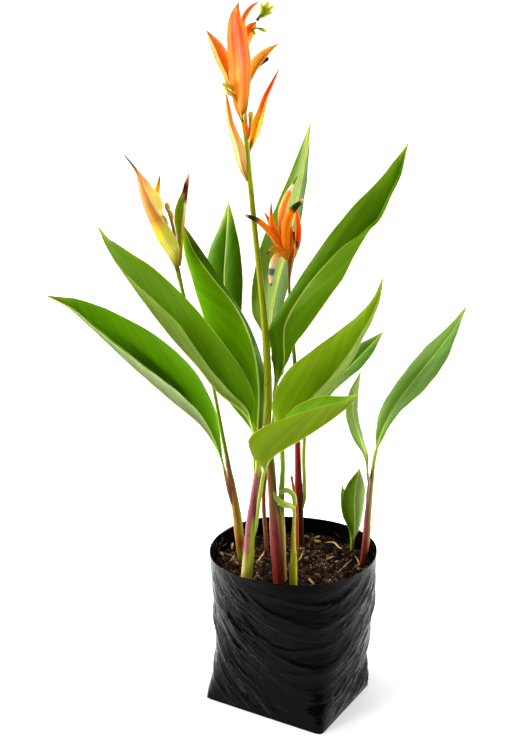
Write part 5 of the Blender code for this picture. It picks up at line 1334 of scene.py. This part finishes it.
def scatter_tree(name, material, subdivisions):
    """Geometry Nodes that scatter bent icospheres on upward faces and keep them as plain mesh."""
    tree = bpy.data.node_groups.new(name, "GeometryNodeTree")
    tree.interface.new_socket("Geometry", in_out="INPUT", socket_type="NodeSocketGeometry")
    for label in ("Density", "Smallest", "Largest", "Flattening"):
        tree.interface.new_socket(label, in_out="INPUT", socket_type="NodeSocketFloat")
    tree.interface.new_socket("Seed", in_out="INPUT", socket_type="NodeSocketInt")
    tree.interface.new_socket("Geometry", in_out="OUTPUT", socket_type="NodeSocketGeometry")
    given = add(tree, "NodeGroupInput")
    facing = add(tree, "GeometryNodeInputNormal")
    upright = add(tree, "ShaderNodeSeparateXYZ", {"Vector": facing.outputs[0]})
    upward = add(tree, "FunctionNodeCompare", {0: upright.outputs["Z"], 1: 0.3}, operation="GREATER_THAN")
    spread = add(tree, "GeometryNodeDistributePointsOnFaces",
                 {"Mesh": given.outputs["Geometry"], "Selection": upward.outputs[0],
                  "Density": given.outputs["Density"], "Seed": given.outputs["Seed"]})
    ball = add(tree, "GeometryNodeMeshIcoSphere", {"Radius": 0.5, "Subdivisions": subdivisions})
    size = add(tree, "FunctionNodeRandomValue", {2: given.outputs["Smallest"], 3: given.outputs["Largest"],
                                                 "Seed": given.outputs["Seed"]}, data_type="FLOAT")
    stretch = add(tree, "FunctionNodeRandomValue", {0: (0.7, 0.7, 0.5), 1: (1.5, 1.1, 0.9), "Seed": 3},
                  data_type="FLOAT_VECTOR")
    flatten = add(tree, "ShaderNodeCombineXYZ", {0: 1.0, 1: 1.0, 2: given.outputs["Flattening"]})
    squashed = add(tree, "ShaderNodeVectorMath", {0: stretch.outputs[0], 1: flatten.outputs[0]},
                   operation="MULTIPLY")
    scaled = add(tree, "ShaderNodeVectorMath", {0: squashed.outputs[0], "Scale": size.outputs[1]},
                 operation="SCALE")
    turn = add(tree, "FunctionNodeRandomValue", {0: (-0.6, -0.6, 0.0), 1: (0.6, 0.6, 6.283), "Seed": 5},
               data_type="FLOAT_VECTOR")
    placed = add(tree, "GeometryNodeInstanceOnPoints",
                 {"Points": spread.outputs["Points"], "Instance": ball.outputs["Mesh"],
                  "Rotation": turn.outputs[0], "Scale": scaled.outputs[0]})
    real = add(tree, "GeometryNodeRealizeInstances", {"Geometry": placed.outputs[0]})
    where = add(tree, "GeometryNodeInputPosition")
    wave = add(tree, "ShaderNodeTexNoise", {"Vector": where.outputs[0], "Scale": 520.0, "Detail": 1.0})
    centred = add(tree, "ShaderNodeVectorMath", {0: wave.outputs["Color"], 1: (0.5, 0.5, 0.5)},
                  operation="SUBTRACT")
    shift = add(tree, "ShaderNodeVectorMath", {0: centred.outputs[0], "Scale": 0.0024}, operation="SCALE")
    bent = add(tree, "GeometryNodeSetPosition", {"Geometry": real.outputs[0], "Offset": shift.outputs[0]})
    dressed = add(tree, "GeometryNodeSetMaterial", {"Geometry": bent.outputs[0], "Material": material})
    done = add(tree, "NodeGroupOutput")
    tree.links.new(dressed.outputs[0], done.inputs[0])
    return tree


def scatter(name, tree, ground, **inputs):
    """A plain mesh of crumbs from a scatter tree on a copy of the ground."""
    carrier = bpy.data.objects.new(name, ground.copy())
    bpy.context.scene.collection.objects.link(carrier)
    modifier = carrier.modifiers.new("Scatter", "NODES")
    modifier.node_group = tree
    for item in tree.interface.items_tree:
        if item.in_out == "INPUT" and item.name in inputs:
            modifier[item.identifier] = inputs[item.name]
    bpy.context.view_layer.update()
    final = carrier.evaluated_get(bpy.context.evaluated_depsgraph_get())
    mesh = bpy.data.meshes.new_from_object(final)
    carrier.modifiers.clear()
    old = carrier.data
    carrier.data = mesh
    bpy.data.meshes.remove(old)
    mesh.polygons.foreach_set("use_smooth", [False] * len(mesh.polygons))
    finish_piece(carrier)


# %% [markdown]
# The crumbs lie on the top of the mix only, a little inside the film: most are fine, some are lumps, and
# some are pale chips of dry bark and straw.

# %% Crumbs, lumps and chips
GROUND_RINGS = 30
inner_rings = []
for share in np.linspace(0.975, 0.0, GROUND_RINGS):
    outline = heart + (edge - heart) * share
    inner_rings.append(np.column_stack([outline, soil_height(*outline.T) - 0.3]))
crumb_ground = bpy.data.meshes.new("crumb_ground")
ground_points = np.vstack(inner_rings) * MM
ground_faces = [(j * SOIL_SIDES + k, j * SOIL_SIDES + (k + 1) % SOIL_SIDES,
                 (j + 1) * SOIL_SIDES + (k + 1) % SOIL_SIDES, (j + 1) * SOIL_SIDES + k)
                for j in range(GROUND_RINGS - 1) for k in range(SOIL_SIDES)]
crumb_ground.from_pydata(ground_points.tolist(), [], ground_faces)
fine_tree = scatter_tree("crumb_scatter", damp_mix, 1)
scatter("potting_soil_crumbs", fine_tree, crumb_ground,
        Density=150000.0, Smallest=0.0014, Largest=0.0042, Flattening=1.0, Seed=4)
coarse_tree = scatter_tree("lump_scatter", damp_mix, 2)
scatter("potting_soil_lumps", coarse_tree, crumb_ground,
        Density=26000.0, Smallest=0.0040, Largest=0.0082, Flattening=1.0, Seed=9)
chip_shades = [(0.0, "#5A4028"), (0.4, "#8A6A44"), (0.8, "#C79B6B"), (1.0, "#E0C8A0")]
bark_chip = mix_material("dry_bark_and_straw_bits", chip_shades, 0.8)
chip_tree = scatter_tree("chip_scatter", bark_chip, 1)
scatter("potting_soil_chips", chip_tree, crumb_ground,
        Density=9000.0, Smallest=0.0010, Largest=0.0032, Flattening=0.5, Seed=21)
bpy.data.meshes.remove(crumb_ground)

# %% [markdown]
# A few bits of root, twig and bark on the mix are large enough to be told apart. Each is a thin tapered
# tube along two to four points on the mix, given with its radius.

# %% Roots, twigs and bark
TAN = [(0, "#9A7A50"), (0.5, "#C79B6B"), (1, "#B08A58")]
GREY = [(0, "#6A6058"), (1, "#94887A")]
DEBRIS = [
    ([(-75, 38), (-65, 30), (-56, 25)], 0.8, GREY),
    ([(-60, 61), (-61, 55), (-61, 49)], 1.5, TAN),
    ([(-74, 33), (-71, 29)], 2.0, TAN),
    ([(-34, 9), (-29, 22), (-25, 38)], 1.3, TAN),
    ([(31, 65), (37, 65)], 2.2, TAN),
    ([(33, 78), (37, 80)], 1.6, TAN),
    ([(43, 65), (52, 62), (58, 51), (61, 43)], 1.0, TAN),
    ([(54, -17), (63, 1), (71, 17)], 0.8, TAN),
    ([(75, 27), (78, 12), (79, 4)], 0.7, TAN),
    ([(44, 19), (51, 25)], 1.3, TAN),
    ([(23, -37), (28, -44)], 1.4, TAN),
    ([(-58, 27), (-62, 14)], 1.0, TAN),
    ([(12, 12), (15, 25), (18, 38)], 0.7, TAN),
]
bits = []
for track, thick, stops in DEBRIS:
    track = np.array(track, float)
    path = np.column_stack([track, soil_height(*track.T) + 1.6 + rng.uniform(0, 1.2, len(track))])
    taper = [0.5 * thick] + [thick] * (len(track) - 2) + [0.5 * thick]
    if len(track) == 2:
        taper = [thick, 0.7 * thick]
    bits.append(tube_flower(path, taper, stops, sides=8, steps=4))
make_piece("potting_soil_debris", bits, dry_fibre)

# %% [markdown]
# The object stands on plain pale paper that is lit from below, except right under and before the object,
# so it looks white around the bag and still takes its soft shadow.

# %% Floor
FLOOR_HALF = 30.0  # metres: its edge is never seen
FLOOR_DROP = 0.0004
paper, tree, shader = new_material("matt_white_paper", Roughness=0.9)
place = add(tree, "ShaderNodeTexCoord").outputs["Object"]
fibre = add(tree, "ShaderNodeTexNoise", {"Scale": 60.0, "Detail": 2.0}).outputs["Fac"]
parts = add(tree, "ShaderNodeSeparateXYZ", {"Vector": place})
behind = add(tree, "ShaderNodeMapRange", {"Value": parts.outputs["Y"], "From Min": -0.34, "From Max": -0.2})
PAPER_TONES = [(0.0, "#CCCCCC"), (1.0, "#E4E4E4")]
tone = add(tree, "ShaderNodeValToRGB", {"Fac": behind.outputs[0]}, stops=PAPER_TONES)
wear(tree, shader, tone.outputs["Color"], fibre, 0.02, 0.0002)
level = add(tree, "ShaderNodeVectorMath", {0: place, 1: (1.0, 1.0, 0.0)}, operation="MULTIPLY")
away = add(tree, "ShaderNodeVectorMath", {0: level.outputs[0]}, operation="LENGTH")
backlit = add(tree, "ShaderNodeMapRange", {"Value": away.outputs["Value"], "From Min": 0.1, "From Max": 0.4,
                                           "To Min": 0.14, "To Max": 0.9})
glow = add(tree, "ShaderNodeMath", {0: backlit.outputs[0], 1: behind.outputs[0]}, operation="MULTIPLY")
tree.links.new(glow.outputs[0], shader.inputs["Emission Strength"])
shader.inputs["Emission Color"].default_value = (1, 1, 1, 1)
corners = [(x * FLOOR_HALF, y * FLOOR_HALF, -FLOOR_DROP) for x, y in ((-1, -1), (1, -1), (1, 1), (-1, 1))]
floor_mesh = bpy.data.meshes.new("paper_floor")
floor_mesh.from_pydata(corners, [], [(0, 1, 2, 3)])
floor_mesh.materials.append(paper)
floor = bpy.data.objects.new("paper_floor", floor_mesh)
bpy.context.scene.collection.objects.link(floor)

# %% [markdown]
# The light is soft: a source above left, weaker ones at the right and above the back, and two panels
# beside the bag, which its film mirrors at both sides while its front stays dark. The backdrop is pale
# behind the object and greyer before it.

# %% Light
LIGHTS = {
    "key_above_left": dict(place=(-1.5, -1.1, 1.9), target=(0, 0, 0.4), width=0.8, power=25),
    "fill_right": dict(place=(1.8, -0.5, 1.1), target=(0, 0, 0.3), width=0.8, power=10),
    "panel_left": dict(place=(-1.4, 0.3, 0.55), target=(0, 0, 0.2), width=0.9, power=50),
    "panel_right": dict(place=(1.4, 0.35, 0.5), target=(0, 0, 0.2), width=0.7, power=27),
    "back_above": dict(place=(0.3, 1.8, 2.2), target=(0, 0, 0.4), width=1.6, power=13),
}
for name, source in LIGHTS.items():
    light = bpy.data.lights.new(name, "AREA")
    light.shape = "SQUARE"
    light.size = source["width"]
    light.energy = source["power"]
    lamp = bpy.data.objects.new(name, light)
    lamp.location = source["place"]
    gaze = Vector(source["target"]) - Vector(source["place"])
    lamp.rotation_euler = gaze.to_track_quat("-Z", "Y").to_euler()
    bpy.context.scene.collection.objects.link(lamp)

world = bpy.data.worlds.new("studio")
bpy.context.scene.world = world
world.use_nodes = True
tree = world.node_tree
direction = add(tree, "ShaderNodeTexCoord")
parts = add(tree, "ShaderNodeSeparateXYZ", {"Vector": direction.outputs["Generated"]})
behind = add(tree, "ShaderNodeMapRange", {"Value": parts.outputs["Y"], "From Min": -0.6, "From Max": 0.3})
SKY_TONES = [(0.0, "#A8A8A8"), (1.0, "#FFFFFF")]
tone = add(tree, "ShaderNodeValToRGB", {"Fac": behind.outputs[0]}, stops=SKY_TONES)
backdrop = tree.nodes["Background"]
tree.links.new(tone.outputs["Color"], backdrop.inputs["Color"])
backdrop.inputs["Strength"].default_value = 0.6
bpy.context.scene.view_settings.view_transform = "Standard"
print("lights:", len(LIGHTS))
